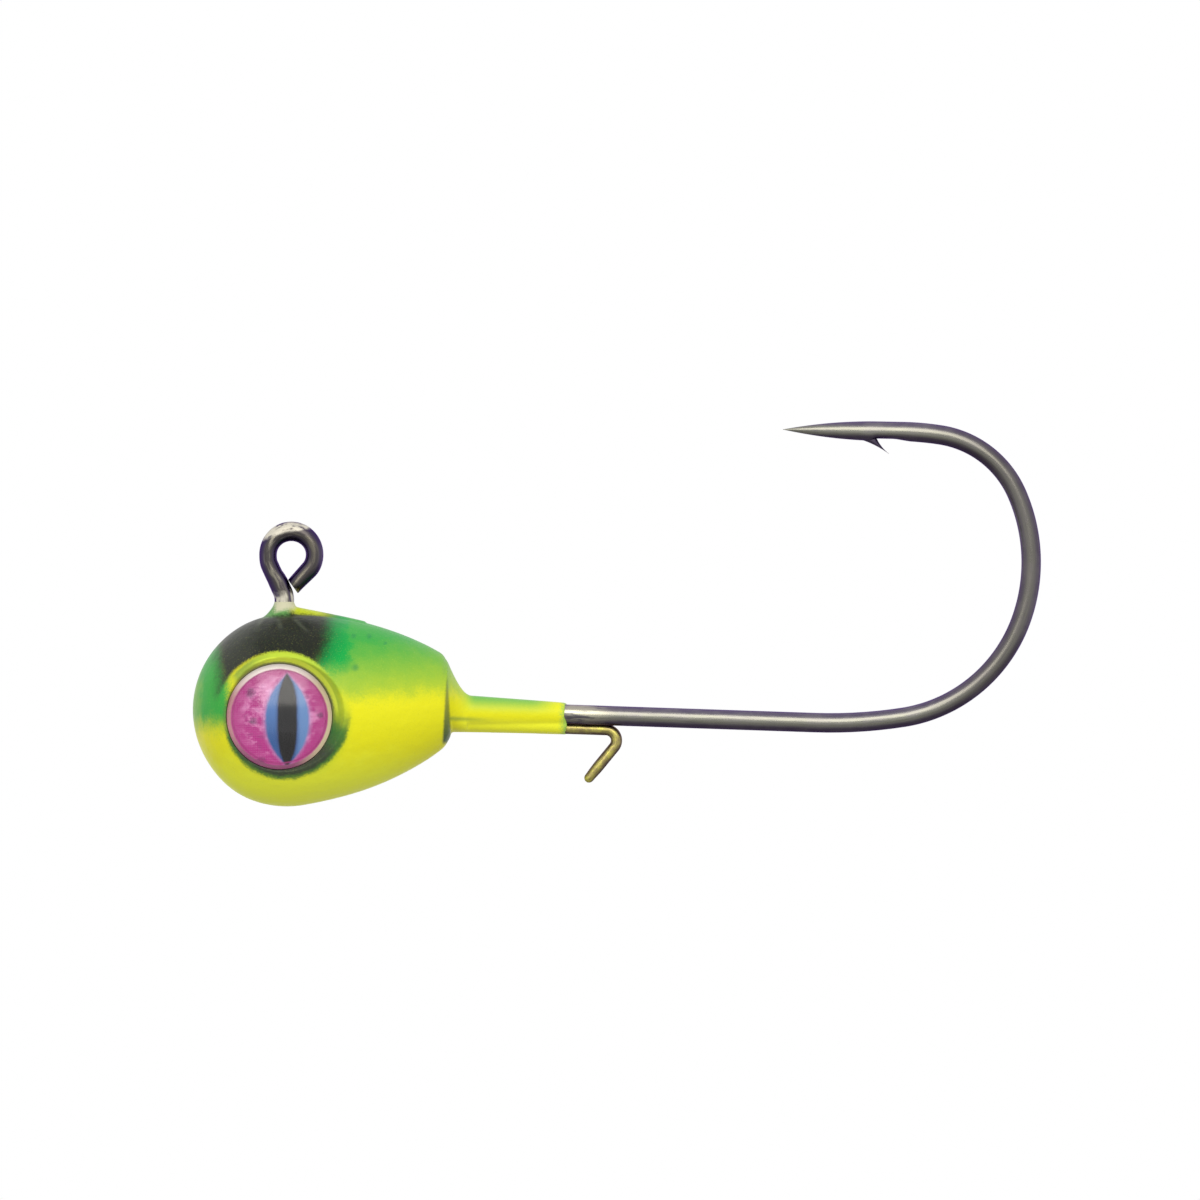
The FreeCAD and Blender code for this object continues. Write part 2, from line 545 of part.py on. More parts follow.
def make_dome(side):
    """The eye's clear dome: a short straight rim under a cap."""
    body = new_body(f"eye_dome_{side}")
    sketch = new_sketch(body, f"dome_profile_{side}")
    radius, edge, crown = D["eye_diameter"] / 2, D["dome_edge"], D["dome_crown"]
    cap = (radius ** 2 + crown ** 2) / (2 * crown)
    circle = Part.Circle(Vector(0, edge + crown - cap, 0), Vector(0, 0, 1), cap)
    base = sketch.addGeometry(Part.LineSegment(Vector(), Vector(radius, 0, 0)))
    rim = sketch.addGeometry(Part.LineSegment(Vector(radius, 0, 0), Vector(radius, edge, 0)))
    arc = sketch.addGeometry(Part.ArcOfCircle(circle, acos(radius / cap), pi / 2))
    axis = sketch.addGeometry(Part.LineSegment(Vector(0, edge + crown, 0), Vector()))
    chain(sketch, (base, 2, rim, 1), (rim, 2, arc, 1), (arc, 2, axis, 1), (axis, 2, base, 1),
          (base, 1, -1, 1))
    sketch.addConstraint(Sketcher.Constraint("Horizontal", base))
    sketch.addConstraint(Sketcher.Constraint("Vertical", rim))
    sketch.addConstraint(Sketcher.Constraint("Vertical", axis))
    sketch.addConstraint(Sketcher.Constraint("PointOnObject", arc, 3, -2))
    drive(sketch, "Distance", (base,), "d.eye_diameter / 2", radius)
    drive(sketch, "Distance", (rim,), "d.dome_edge", edge)
    drive(sketch, "Distance", (axis,), "d.dome_edge + d.dome_crown", edge + crown)
    turn_about(body, sketch, "V_Axis")
    return eye_place(body, side, f"{SOCKET_FLOOR} + d.pad_thickness + d.film_thickness")


# ---------------------------------------------------------------- assembly

def make_parts():
    """Every piece of the jig, by name."""
    hook, keeper = make_hook(), make_keeper()
    wires = fused("wires", hook, keeper)
    cast_form = head_form("cast")
    parts = {
        "hook": hook,
        "bait_keeper": keeper,
        "head_casting": cut("head_casting", cast_form, wires),
        "paint_coat": cut("paint_coat", head_form("painted"), fused("coated", cast_form, wires)),
    }
    for side in SIDES:
        parts[f"eye_pad_{side}"] = make_disc("eye_pad", side, "d.eye_diameter / 2 - d.pad_inset",
                                             "d.pad_thickness", SOCKET_FLOOR)
        parts[f"eye_film_{side}"] = make_disc("eye_film", side, "d.eye_diameter / 2", "d.film_thickness",
                                              f"{SOCKET_FLOOR} + d.pad_thickness")
        parts[f"eye_dome_{side}"] = make_dome(side)
    return parts


def check(parts):
    """Stop if any object of the document failed, or any piece isn't a sound solid."""
    failed = [obj.Name for obj in doc.Objects if {"Invalid", "Error"} & set(obj.State)]
    unsound = [name for name, part in parts.items()
               if part.Shape.isNull() or not part.Shape.isValid() or len(part.Shape.Solids) != 1]
    if failed or unsound:
        raise RuntimeError(f"failed objects: {failed}, unsound pieces: {unsound}")


def main():
    parts = make_parts()
    for name, part in parts.items():
        part.Label = name
    doc.recompute()
    check(parts)
    os.makedirs("parts", exist_ok=True)
    for name, part in parts.items():
        part.Shape.exportStep(f"parts/{name}.step")
        print(f"{name}: {part.Shape.Volume:.4f} mm3")


main()
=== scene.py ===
"""Looks of a round-head fishing jig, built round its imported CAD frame.

Metres, in the frame's axes: the origin is the centre of the hook's line eye, +Z runs up its leg, +X runs
back along the shank and the left side faces -Y. The hook, the bait keeper, the painted head, the lead
under it and the eyes' clear domes are remade as finer meshes. The eyes' pads and films keep the CAD's
meshes and get a finish.
"""

from math import acos, atan2, cos, pi, radians, sin, sqrt, tan

import bpy
import numpy as np
from mathutils import Matrix, Vector, noise


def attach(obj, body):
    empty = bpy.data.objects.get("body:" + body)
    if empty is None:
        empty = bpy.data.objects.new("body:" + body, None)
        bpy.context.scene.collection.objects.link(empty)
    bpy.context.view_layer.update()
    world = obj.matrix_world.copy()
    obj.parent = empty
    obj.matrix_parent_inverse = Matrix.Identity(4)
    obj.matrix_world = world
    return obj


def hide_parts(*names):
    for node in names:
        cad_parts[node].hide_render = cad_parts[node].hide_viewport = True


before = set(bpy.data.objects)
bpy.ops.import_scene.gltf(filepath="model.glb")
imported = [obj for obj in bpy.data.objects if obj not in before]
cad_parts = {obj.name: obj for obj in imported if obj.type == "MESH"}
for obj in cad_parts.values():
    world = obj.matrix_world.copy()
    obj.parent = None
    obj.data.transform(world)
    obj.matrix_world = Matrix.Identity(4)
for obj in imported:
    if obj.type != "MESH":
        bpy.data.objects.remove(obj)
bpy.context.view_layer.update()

# ---------------------------------------------------------------- sizes

# hook
WIRE_RADIUS = 0.475e-3
LOOP_RADIUS = 1.13e-3
LOOP_END_DIP = radians(41)
LOOP_NECK_DIP = radians(24.5)
LOOP_AHEAD = 0.03e-3
LOOP_END_GAP = 0.01e-3
LOOP_END_SLANT = tan(radians(11))
LOOP_END_EXTRA = 0.11e-3
LOOP_END_INSET = 0.055e-3
LOOP_END_REACH = 1.4e-3
LOOP_END_CHAMFER = 0.03e-3
CHAMFER_STATION = 0.05e-3
LOOP_THINNING = 0.10
LOOP_FADE = (0.4e-3, 1.0e-3)  # past the end of the loop
LEG_BOW = 0.040e-3
LEG_BOW_RISE = (-0.5e-3, 0.1e-3)  # past the end of the loop
LEG_BOW_FALL = (0.4e-3, 0.9e-3)
LEG_OFFSET = 0.31e-3
KNEE_RADIUS = 0.95e-3
SHANK_DEPTH = 7.28e-3
SHANK_DROP = radians(1.93)
JIG_BEND_RADIUS = 1.60e-3
SHANK_LENGTH = 25.74e-3
GAPE_BENDS = (
    (23.0e-3, radians(10.7)),
    (7.26e-3, radians(60.9)),
    (8.27e-3, radians(44.1)),
    (4.85e-3, radians(57.3)),
    (13.6e-3, radians(7.9)),
)
SPEAR_LENGTH = 1.46e-3
POINT_LENGTH = 4.35e-3
POINT_GRIND = 4.65e-3
POINT_TIP_RADIUS = 0.030e-3

# barb, as (behind the point's tip, below the wire's axis)
BARB_FRONT = ((3.60e-3, 0.38e-3), (4.35e-3, 0.52e-3), (5.17e-3, 1.08e-3))
BARB_BACK = ((4.52e-3, 0.22e-3), (4.67e-3, 0.68e-3), (5.17e-3, 1.08e-3))
BARB_HALF_WIDTH = 0.23e-3
BARB_TIP_SIZE = 0.012e-3
BARB_NARROWING = 0.8
BARB_RINGS = 16
BARB_SIDES = 24
RELIEF_DEPTH = 0.11e-3
RELIEF_START = 4.45e-3
RELIEF_EDGE = (-0.15e-3, 0.1e-3)
RELIEF_LENGTH = 1.90e-3
RELIEF_FULL_SHARE = 0.45

# bait keeper
KEEPER_RADIUS = 0.272e-3
KEEPER_GAP = 0.012e-3
KEEPER_START = 13.3e-3
KEEPER_CORNER = 15.64e-3
KEEPER_BEND_RADIUS = 0.52e-3
KEEPER_TURN = radians(127.3)
KEEPER_BARB_LENGTH = 2.15e-3
KEEPER_TAPER = 0.16
KEEPER_TAPER_LENGTH = 1.0e-3
KEEPER_TIP_POWER = 2.6
KEEPER_TIP_FLAT = 0.12
KEEPER_BELOW = 0.685e-3
KEEPER_ASIDE = sqrt((WIRE_RADIUS + KEEPER_RADIUS + KEEPER_GAP) ** 2 - KEEPER_BELOW ** 2)

# head
BALL_RADIUS = 4.67e-3
BALL_CENTRE = Vector((-0.06e-3, 0, -7.53e-3))
HEAD_LENGTH = 12.44e-3
HEAD_TILT = radians(3.96)
FLANK_RADIUS = 15.3e-3
FLANK_START = radians(4.2)
REAR_ROUNDING = 0.72e-3
NECK_ROOT = 8.90e-3
NECK_END = 13.65e-3
NECK_ROOT_RADIUS = 0.80e-3
NECK_END_RADIUS = 0.565e-3
LOBE_RADIUS = 0.305e-3
LOBE_SPREAD = 0.07e-3
FILLET_RADIUS = 0.54e-3  # fills the crease between sleeve and lobe
FILLET_TAPER = 0.05e-3
FILLET_BELOW = 0.41e-3
FILLET_FALL = 0.04e-3
FILLET_ASIDE = 0.12e-3
HEEL = Vector((7.80e-3, 0, -9.15e-3))
HEEL_SIZE = 0.42e-3
HEEL_TUCK = 0.12e-3
FLARE_LENGTH = 1.07e-3
FLARE_TOP = 2.40e-3
FLARE_WIDTH = 2.15e-3
FLARE_CURVE = 1.5
BOSS_TOP = -2.20e-3
BOSS_FOOT = -3.30e-3
BOSS_TOP_RADIUS = 0.465e-3
BOSS_FOOT_RADIUS = 1.36e-3
BOSS_CURVE = 1.75
RIDGE_END = 3.6e-3
RIDGE_TOP = -2.42e-3
RIDGE_FALL = 0.76e-3
RIDGE_TAIL_FALL = 0.06e-3
RIDGE_RADIUS = 0.42e-3
RIDGE_SPREAD = 1.10e-3
RIDGE_SPREAD_POWER = 0.8
COAT = 0.05e-3
CHIN_ANGLE = radians(-122)
CHIN_SPREAD = radians(20)
CHIN_FULLNESS = 0.065e-3
BELLY_ANGLE = radians(-66)
BELLY_SPREAD = radians(22)
BELLY_TUCK = 0.040e-3
OUTLINE_RIM = (0.80, 0.97)  # share of a direction that lies in the mid-plane
SEAM_HEIGHT = 0.018e-3
SEAM_HALF_WIDTH = 0.11e-3
BODY_END = (6.6e-3, 7.2e-3)
BODY_TOP = (-3.4e-3, -2.9e-3)
RAGGED_EDGE = (12.6e-3, 13.3e-3)
RAGGED_DEPTH = 0.14e-3
RAGGED_SCALE = 2600
CAST_VOXEL = 0.055e-3
CAST_SMOOTHING = 7

# eyes
EYE_RADIUS = 2.55e-3
EYE_CENTRE = Vector((-0.52e-3, 0, -7.84e-3))
SOCKET_RADIUS = 2.585e-3
SOCKET_FLOOR = 3.00e-3
SOCKET_WALL = 0.46e-3
BEVEL_SLOPE = tan(radians(35.5))
DOME_BASE = 3.18e-3
DOME_LIFT = 0.004e-3
DOME_INSET = 0.01e-3
DOME_EDGE = 0.14e-3
DOME_CROWN = 0.62e-3
DOME_SHOULDER = 0.07e-3
DOME_CAP_SHARE = 0.96
DOME_TOP_ANGLE = 0.002

# studio
MIDDLE = Vector((15.0e-3, 0, -2.2e-3))
FRAME_WIDTH = 58.2e-3
LENS = 1000
SENSOR = 36
CAMERA_DISTANCE = FRAME_WIDTH * LENS / SENSOR
FLOOR_HEIGHT = -45e-3
FLOOR_RADIUS = 150e-3
FLOOR_FADE_START = 0.55 * FLOOR_RADIUS
FLOOR_SIDES = 96
KEY_DISTANCE = 0.35
KEY_ELEVATION = radians(30)
KEY_HALF_WIDTH = tan(radians(24)) * KEY_DISTANCE
KEY_HALF_HEIGHT = tan(radians(19)) * KEY_DISTANCE
KEY_RADIANCE = 3.0
KEY_COLOUR = (1.0, 0.96, 0.88)
WORLD_ON_MATT = 0.72

MM = 1e-3
REMESH_SCALE = 1000.0  # the remesh has a smallest voxel, which is too coarse for a part this small
X_AXIS, Y_AXIS, Z_AXIS = Vector((1, 0, 0)), Vector((0, 1, 0)), Vector((0, 0, 1))


# ---------------------------------------------------------------- meshes

def mesh_object(name, vertices, faces):
    """A smooth-shaded object from vertices and faces."""
    mesh = bpy.data.meshes.new(name)
    mesh.from_pydata([tuple(v) for v in vertices], [], faces)
    mesh.validate()
    mesh.shade_smooth()
    obj = bpy.data.objects.new(name, mesh)
    bpy.context.scene.collection.objects.link(obj)
    return obj


def skin(rings, clockwise=False):
    """Vertices and faces of a closed tube through rings of equally many points.

    Rings that run clockwise about the tube's way need their faces turned over to look outwards.
    """
    count = len(rings[0])
    vertices = [point for ring in rings for point in ring]
    faces = []
    for row in range(len(rings) - 1):
        for k in range(count):
            a, b = row * count + k, row * count + (k + 1) % count
            faces.append((a, b, b + count, a + count))
    faces.append(tuple(range(count - 1, -1, -1)))
    faces.append(tuple(range((len(rings) - 1) * count, len(rings) * count)))
    if clockwise:
        faces = [(face[0], *face[:0:-1]) for face in faces]
    return vertices, faces


def circle(centre, across, up, radius, count):
    """Points of a circle in the plane of two unit vectors."""
    angles = [2 * pi * k / count for k in range(count)]
    return [centre + radius * (cos(a) * across + sin(a) * up) for a in angles]


def turned(profile, place, count):
    """Vertices and faces of a closed turned solid: (along, radius) points about the local X axis."""
    rings = []
    for along, radius in profile:
        ring = circle(along * X_AXIS, Y_AXIS, Z_AXIS, radius, count)
        rings.append([place @ point for point in ring])
    return skin(rings)


def merged(name, *parts):
    """One object from several lists of vertices and faces."""
    vertices, faces = [], []
    for part_vertices, part_faces in parts:
        start = len(vertices)
        vertices.extend(part_vertices)
        faces.extend([tuple(k + start for k in face) for face in part_faces])
    return mesh_object(name, vertices, faces)


def applied(obj):
    """The object with its modifiers made part of its mesh."""
    graph = bpy.context.evaluated_depsgraph_get()
    mesh = bpy.data.meshes.new_from_object(obj.evaluated_get(graph))
    old = obj.data
    obj.modifiers.clear()
    obj.data = mesh
    bpy.data.meshes.remove(old)
    return obj


def joined(obj, other):
    """Make another object's mesh part of the first."""
    with bpy.context.temp_override(active_object=obj, selected_editable_objects=[obj, other]):
        bpy.ops.object.join()
    return obj


def cut(obj, tool):
    """Cut a tool out of an object, and drop the tool."""
    modifier = obj.modifiers.new("cut", "BOOLEAN")
    modifier.operation = "DIFFERENCE"
    modifier.solver = "EXACT"
    modifier.object = tool
    applied(obj)
    bpy.data.objects.remove(tool)


def cast(obj):
    """Melt an object's overlapping solids into one skin, and round its edges."""
    obj.data.transform(Matrix.Scale(REMESH_SCALE, 4))
    remesh = obj.modifiers.new("remesh", "REMESH")
    remesh.mode = "VOXEL"
    remesh.voxel_size = CAST_VOXEL * REMESH_SCALE
    smooth = obj.modifiers.new("smooth", "SMOOTH")
    smooth.factor = 0.5
    smooth.iterations = CAST_SMOOTHING
    applied(obj)
    obj.data.transform(Matrix.Scale(1 / REMESH_SCALE, 4))
    obj.data.shade_smooth()


def coordinates(obj):
    """The object's vertices as an array."""
    flat = np.empty(len(obj.data.vertices) * 3)
    obj.data.vertices.foreach_get("co", flat)
    return flat.reshape(-1, 3)


def set_coordinates(obj, points):
    """Move the object's vertices to the points of an array."""
    obj.data.vertices.foreach_set("co", points.ravel())
    obj.data.update()


def spaced(start, end, count, endpoint=True):
    """Evenly spaced plain numbers."""
    return np.linspace(start, end, count, endpoint=endpoint).tolist()


def set_wire_space(obj, space):
    """Store each vertex's place in the wire's own frame, (across, out, along), for the finishes."""
    attribute = obj.data.attributes.new("wire_space", "FLOAT_VECTOR", "POINT")
    attribute.data.foreach_set("vector", np.array(space).ravel())


def smooth_step(value, low, high):
    """0 at low, 1 at high, with a soft start and end."""
    share = np.clip((value - low) / (high - low), 0, 1)
    return share * share * (3 - 2 * share)


# ---------------------------------------------------------------- wires

class Route:
    """A wire's centreline in the XZ plane: stations of place, heading and distance from its start."""

    def __init__(self, x, z, heading):
        self.x, self.z, self.heading, self.length = x, z, heading, 0.0
        self.stations = [(x, z, heading, 0.0)]

    def _add(self):
        self.stations.append((self.x, self.z, self.heading, self.length))

    def line(self, length, step=0.25e-3):
        count = max(1, round(length / step))
        for _ in range(count):
            self.x += length / count * cos(self.heading)
            self.z += length / count * sin(self.heading)
            self.length += length / count
            self._add()

    def arc(self, radius, turn, step=radians(2.5)):
        count = max(2, round(abs(turn) / step))
        part = turn / count
        chord = 2 * radius * sin(abs(part) / 2)
        for _ in range(count):
            self.x += chord * cos(self.heading + part / 2)
            self.z += chord * sin(self.heading + part / 2)
            self.heading += part
            self.length += radius * abs(part)
            self._add()


def wire(name, route, radius_at, shift=None, aside=0.0, sides=64):
    """A round wire along a route. A shift says how far each point moves in, and along the wire."""
    rings, space = [], []
    for x, z, heading, along in route.stations:
        centre = Vector((x, aside, z))
        inward = Vector((-sin(heading), 0, cos(heading)))
        forward = Vector((cos(heading), 0, sin(heading)))
        radius = radius_at(along)
        ring = circle(centre, inward, Y_AXIS, radius, sides)
        for k, point in enumerate(ring):
            angle = 2 * pi * k / sides
            if shift:
                inset, slide = shift(along, angle, radius, heading)
                point -= inset * inward
                point += slide * forward
            space.append((radius * cos(angle), radius * sin(angle), along))
        rings.append(ring)
    vertices, faces = skin(rings, clockwise=True)
    obj = mesh_object(name, vertices, faces)
    set_wire_space(obj, space)
    return obj


def shank_point(along, below=0.0):
    """A point on the shank's line, at a distance from the leg, or square below that line."""
    x = along * cos(SHANK_DROP) - below * sin(SHANK_DROP) - LEG_OFFSET
    z = -(SHANK_DEPTH + along * sin(SHANK_DROP) + below * cos(SHANK_DROP))
    return Vector((x, 0, z))


def hook_route():
    """The hook's wire from the line eye's cut end to its point, and where along it the loop ends."""
    dips = LOOP_END_DIP + LOOP_NECK_DIP
    bore = LOOP_RADIUS - WIRE_RADIUS
    end_run = (bore * (1 + cos(dips)) - LOOP_END_GAP) / sin(dips) + LOOP_END_EXTRA
    start_x = LOOP_AHEAD + LOOP_RADIUS * cos(LOOP_END_DIP) - end_run * sin(LOOP_END_DIP)
    start_z = -LOOP_RADIUS * sin(LOOP_END_DIP) - end_run * cos(LOOP_END_DIP)
    route = Route(start_x, start_z, pi / 2 - LOOP_END_DIP)
    route.line(end_run)
    route.arc(LOOP_RADIUS, pi + dips)
    loop_end = route.length
    knee_shift = KNEE_RADIUS * (1 - cos(LOOP_NECK_DIP))
    across = LOOP_RADIUS * cos(LOOP_NECK_DIP) - LOOP_AHEAD - LEG_OFFSET - knee_shift
    route.line(across / sin(LOOP_NECK_DIP))
    route.arc(KNEE_RADIUS, -LOOP_NECK_DIP)
    jig_turn = pi / 2 - SHANK_DROP
    tangent = JIG_BEND_RADIUS * tan(jig_turn / 2)
    route.line(SHANK_DEPTH - tangent + route.z)
    route.arc(JIG_BEND_RADIUS, jig_turn)
    route.line(SHANK_LENGTH - tangent, 0.5e-3)
    for radius, turn in GAPE_BENDS:
        route.arc(radius, turn, radians(1.5))
    route.line(SPEAR_LENGTH, 0.1e-3)
    route.line(POINT_LENGTH - POINT_TIP_RADIUS, 0.05e-3)
    return route, loop_end


def bezier(points, share):
    """A point of a quadratic curve."""
    a, b, c = (Vector(p) for p in points)
    return a * (1 - share) ** 2 + b * 2 * share * (1 - share) + c * share ** 2


def hook_shift(along, left, loop_end, angle, radius, heading):
    """How far a point of the hook's skin lies in from its round ring, and how far along the wire."""
    across = radius * cos(angle)
    full_relief = RELIEF_START + RELIEF_FULL_SHARE * RELIEF_LENGTH
    fade = 1 - smooth_step(left, full_relief, RELIEF_START + RELIEF_LENGTH)
    start = smooth_step(left, RELIEF_START + RELIEF_EDGE[0], RELIEF_START + RELIEF_EDGE[1])
    relief = RELIEF_DEPTH * start * fade * max(0.0, cos(angle)) ** 1.5

    in_loop = 1 - smooth_step(along, loop_end + LOOP_FADE[0], loop_end + LOOP_FADE[1])
    near_end = 1 - smooth_step(along, 0.0, LOOP_END_REACH)
    thinning = LOOP_THINNING * (in_loop * sin(heading) ** 2 + near_end) * across
    bow = smooth_step(along, loop_end + LEG_BOW_RISE[0], loop_end + LEG_BOW_RISE[1])
    bow *= 1 - smooth_step(along, loop_end + LEG_BOW_FALL[0], loop_end + LEG_BOW_FALL[1])
    inset = relief + thinning + (LEG_BOW * bow - LOOP_END_INSET * near_end)
    slide = LOOP_END_SLANT * near_end * across
    return float(inset), float(slide)


def make_barb(point, heading):
    """The barb sliced out of the wire behind its point, as a curved wedge."""
    backward = Vector((-cos(heading), 0, -sin(heading)))
    below = Vector((-sin(heading), 0, cos(heading)))
    tip = point - backward * POINT_TIP_RADIUS
    angles = [2 * pi * k / BARB_SIDES for k in range(BARB_SIDES)]
    rings = []
    for n in range(BARB_RINGS + 1):
        share = n / BARB_RINGS
        front = bezier(BARB_FRONT, share)
        back = bezier(BARB_BACK, share)
        centre = tip + backward * (front.x + back.x) / 2 + below * (front.y + back.y) / 2
        reach = (backward * (back.x - front.x) + below * (back.y - front.y)) / 2
        outward = reach.normalized() if reach.length > 0 else backward
        reach += outward * BARB_TIP_SIZE
        half_width = BARB_HALF_WIDTH * (1 - share) ** BARB_NARROWING + BARB_TIP_SIZE
        rings.append([centre + reach * cos(a) + half_width * sin(a) * Y_AXIS for a in angles])
    vertices, faces = skin(rings, clockwise=True)
    barb = mesh_object("barb", vertices, faces)
    set_wire_space(barb, [tuple(v) for v in vertices])
    return barb


def make_hook():
    """The hook's wire with its line eye, bends, needle point and barb."""
    route, loop_end = hook_route()
    total = route.length + POINT_TIP_RADIUS
    point, heading = Vector((route.x, 0, route.z)), route.heading

    def radius_at(along):
        left = total - along
        if along == 0.0:
            return WIRE_RADIUS - LOOP_END_CHAMFER
        if left < POINT_GRIND:
            ogive = WIRE_RADIUS * (1 - (1 - left / POINT_GRIND) ** 2)
            return max(ogive, POINT_TIP_RADIUS * 0.5)
        return WIRE_RADIUS

    def shift(along, angle, radius, turned_to):
        return hook_shift(along, total - along, loop_end, angle, radius, turned_to)

    x, z, end_heading, _ = route.stations[0]
    x += LOOP_END_CHAMFER * cos(end_heading)
    z += LOOP_END_CHAMFER * sin(end_heading)
    route.stations.insert(1, (x, z, end_heading, CHAMFER_STATION))
    return joined(wire("hook_wire", route, radius_at, shift), make_barb(point, heading))


def make_keeper():
    """The keeper: straight beside the shank, then bent round into a barb that leans back."""
    start = shank_point(KEEPER_START, KEEPER_BELOW)
    route = Route(start.x, start.z, -SHANK_DROP)
    route.line(KEEPER_CORNER - KEEPER_START)
    route.arc(KEEPER_BEND_RADIUS, -KEEPER_TURN, radians(4))
    route.line(KEEPER_BARB_LENGTH - KEEPER_RADIUS, 0.1e-3)
    route.line(KEEPER_RADIUS, 0.02e-3)
    total = route.length

    def radius_at(along):
        left = total - along
        thick = float(smooth_step(left, 0.0, KEEPER_TAPER_LENGTH))
        radius = KEEPER_RADIUS * (1 - KEEPER_TAPER * (1 - thick))
        if left < KEEPER_RADIUS:
            round_off = 1 - ((KEEPER_RADIUS - left) / KEEPER_RADIUS) ** KEEPER_TIP_POWER
            return radius * sqrt(max(KEEPER_TIP_FLAT, round_off))
        return radius

    return wire("keeper_wire", route, radius_at, aside=KEEPER_ASIDE, sides=48)


# ---------------------------------------------------------------- head

def ball_and_flank():
    """The head turned about its own axis: ball at the nose, flank, rounded rear edge, flat rear face."""
    rear = HEAD_LENGTH - BALL_RADIUS
    start = pi / 2 - FLANK_START
    centre = Vector((cos(start), sin(start))) * (BALL_RADIUS - FLANK_RADIUS)
    corner_x = rear - REAR_ROUNDING
    corner_z = centre.y + sqrt((FLANK_RADIUS - REAR_ROUNDING) ** 2 - (corner_x - centre.x) ** 2)
    meets = atan2(corner_z - centre.y, corner_x - centre.x)
    profile = []
    for a in spaced(pi - 0.01, start, 90, endpoint=False):
        profile.append((BALL_RADIUS * cos(a), BALL_RADIUS * sin(a)))
    for a in spaced(start, meets, 40, endpoint=False):
        profile.append((centre.x + FLANK_RADIUS * cos(a), centre.y + FLANK_RADIUS * sin(a)))
    for a in spaced(meets, 0, 10):
        profile.append((corner_x + REAR_ROUNDING * cos(a), corner_z + REAR_ROUNDING * sin(a)))
    place = Matrix.Translation(BALL_CENTRE) @ Matrix.Rotation(-HEAD_TILT, 4, "Y")
    return turned(profile, place, 180)


def along_shank(start, end, section_at, count=64, steps=24):
    """A closed loft of ovals square to the shank, each (half width, half height, below, aside)."""
    across, up = Y_AXIS, Vector((sin(SHANK_DROP), 0, cos(SHANK_DROP)))
    rings = []
    for share in spaced(0, 1, steps + 1):
        half_width, half_height, below, aside = section_at(share)
        centre = shank_point(start + (end - start) * share, below) + aside * across
        wide = across * (half_width / half_height)
        rings.append(circle(centre, wide, up, half_height, count))
    return skin(rings)


def flare():
    """Where the head falls away to the neck: flat below, a falling curve above."""
    bottom = KEEPER_BELOW + LOBE_RADIUS

    def section_at(share):
        fall = (1 - share) ** FLARE_CURVE
        top = NECK_ROOT_RADIUS + fall * (FLARE_TOP - NECK_ROOT_RADIUS)
        half_height = (top + bottom) / 2
        half_width = NECK_ROOT_RADIUS + fall * (FLARE_WIDTH - NECK_ROOT_RADIUS)
        return half_width, half_height, (bottom - top) / 2, 0.0

    return along_shank(NECK_ROOT - FLARE_LENGTH, NECK_ROOT, section_at)


def neck():
    """The painted collar: a sleeve round the shank, a lobe round the keeper, and their fillet."""
    inside = NECK_ROOT - 1e-3
    taper = NECK_END_RADIUS - NECK_ROOT_RADIUS

    def sleeve_at(share):
        radius = NECK_ROOT_RADIUS + taper * share
        return radius, radius, 0.0, 0.0

    def fillet_at(share):
        radius = FILLET_RADIUS - FILLET_TAPER * share
        return radius, radius, FILLET_BELOW + FILLET_FALL * share, FILLET_ASIDE

    def lobe_at(share):
        radius = LOBE_RADIUS + LOBE_SPREAD * (1 - share) ** 2
        return radius, radius, KEEPER_BELOW, KEEPER_ASIDE

    return [along_shank(inside, NECK_END, section) for section in (sleeve_at, fillet_at, lobe_at)]


def boss():
    """The cone of lead that climbs the leg, with a hollow flank."""
    rings = []
    for share in spaced(0, 1, 24):
        z = BOSS_TOP + (BOSS_FOOT - BOSS_TOP) * share
        radius = BOSS_TOP_RADIUS + (BOSS_FOOT_RADIUS - BOSS_TOP_RADIUS) * share ** BOSS_CURVE
        rings.append(circle(Vector((-LEG_OFFSET, 0, z)), X_AXIS, Y_AXIS, radius, 64))
    return skin(rings)


def ridge_behind_boss():
    """The low ridge where the sprue ran in: its top falls back along the ball's crown."""
    rings = []
    for share in spaced(0, 1, 24):
        x = -LEG_OFFSET + (RIDGE_END + LEG_OFFSET) * share
        radius = RIDGE_RADIUS + RIDGE_SPREAD * share ** RIDGE_SPREAD_POWER
        top = RIDGE_TOP - RIDGE_FALL * share - RIDGE_TAIL_FALL * share ** 4
        rings.append(circle(Vector((x, 0, top - radius)), Y_AXIS, Z_AXIS, radius, 48))
    return skin(rings)


def socket_tool(side):
    """What is cut out for an eye: a straight wall on a flat floor, then a bevel to the surface."""
    bevel_end = SOCKET_FLOOR + SOCKET_WALL + BALL_RADIUS
    profile = [
        (SOCKET_FLOOR, SOCKET_RADIUS),
        (SOCKET_FLOOR + SOCKET_WALL, SOCKET_RADIUS),
        (bevel_end, SOCKET_RADIUS + BALL_RADIUS * BEVEL_SLOPE),
    ]
    turn = Matrix.Rotation(side * pi / 2, 4, "Z")
    return turned(profile, Matrix.Translation(EYE_CENTRE) @ turn, 128)


def bulge(around, angle, spread):
    """1 in one direction of the side view, falling off to both sides of it."""
    return np.exp(-((around - angle) / spread) ** 2)


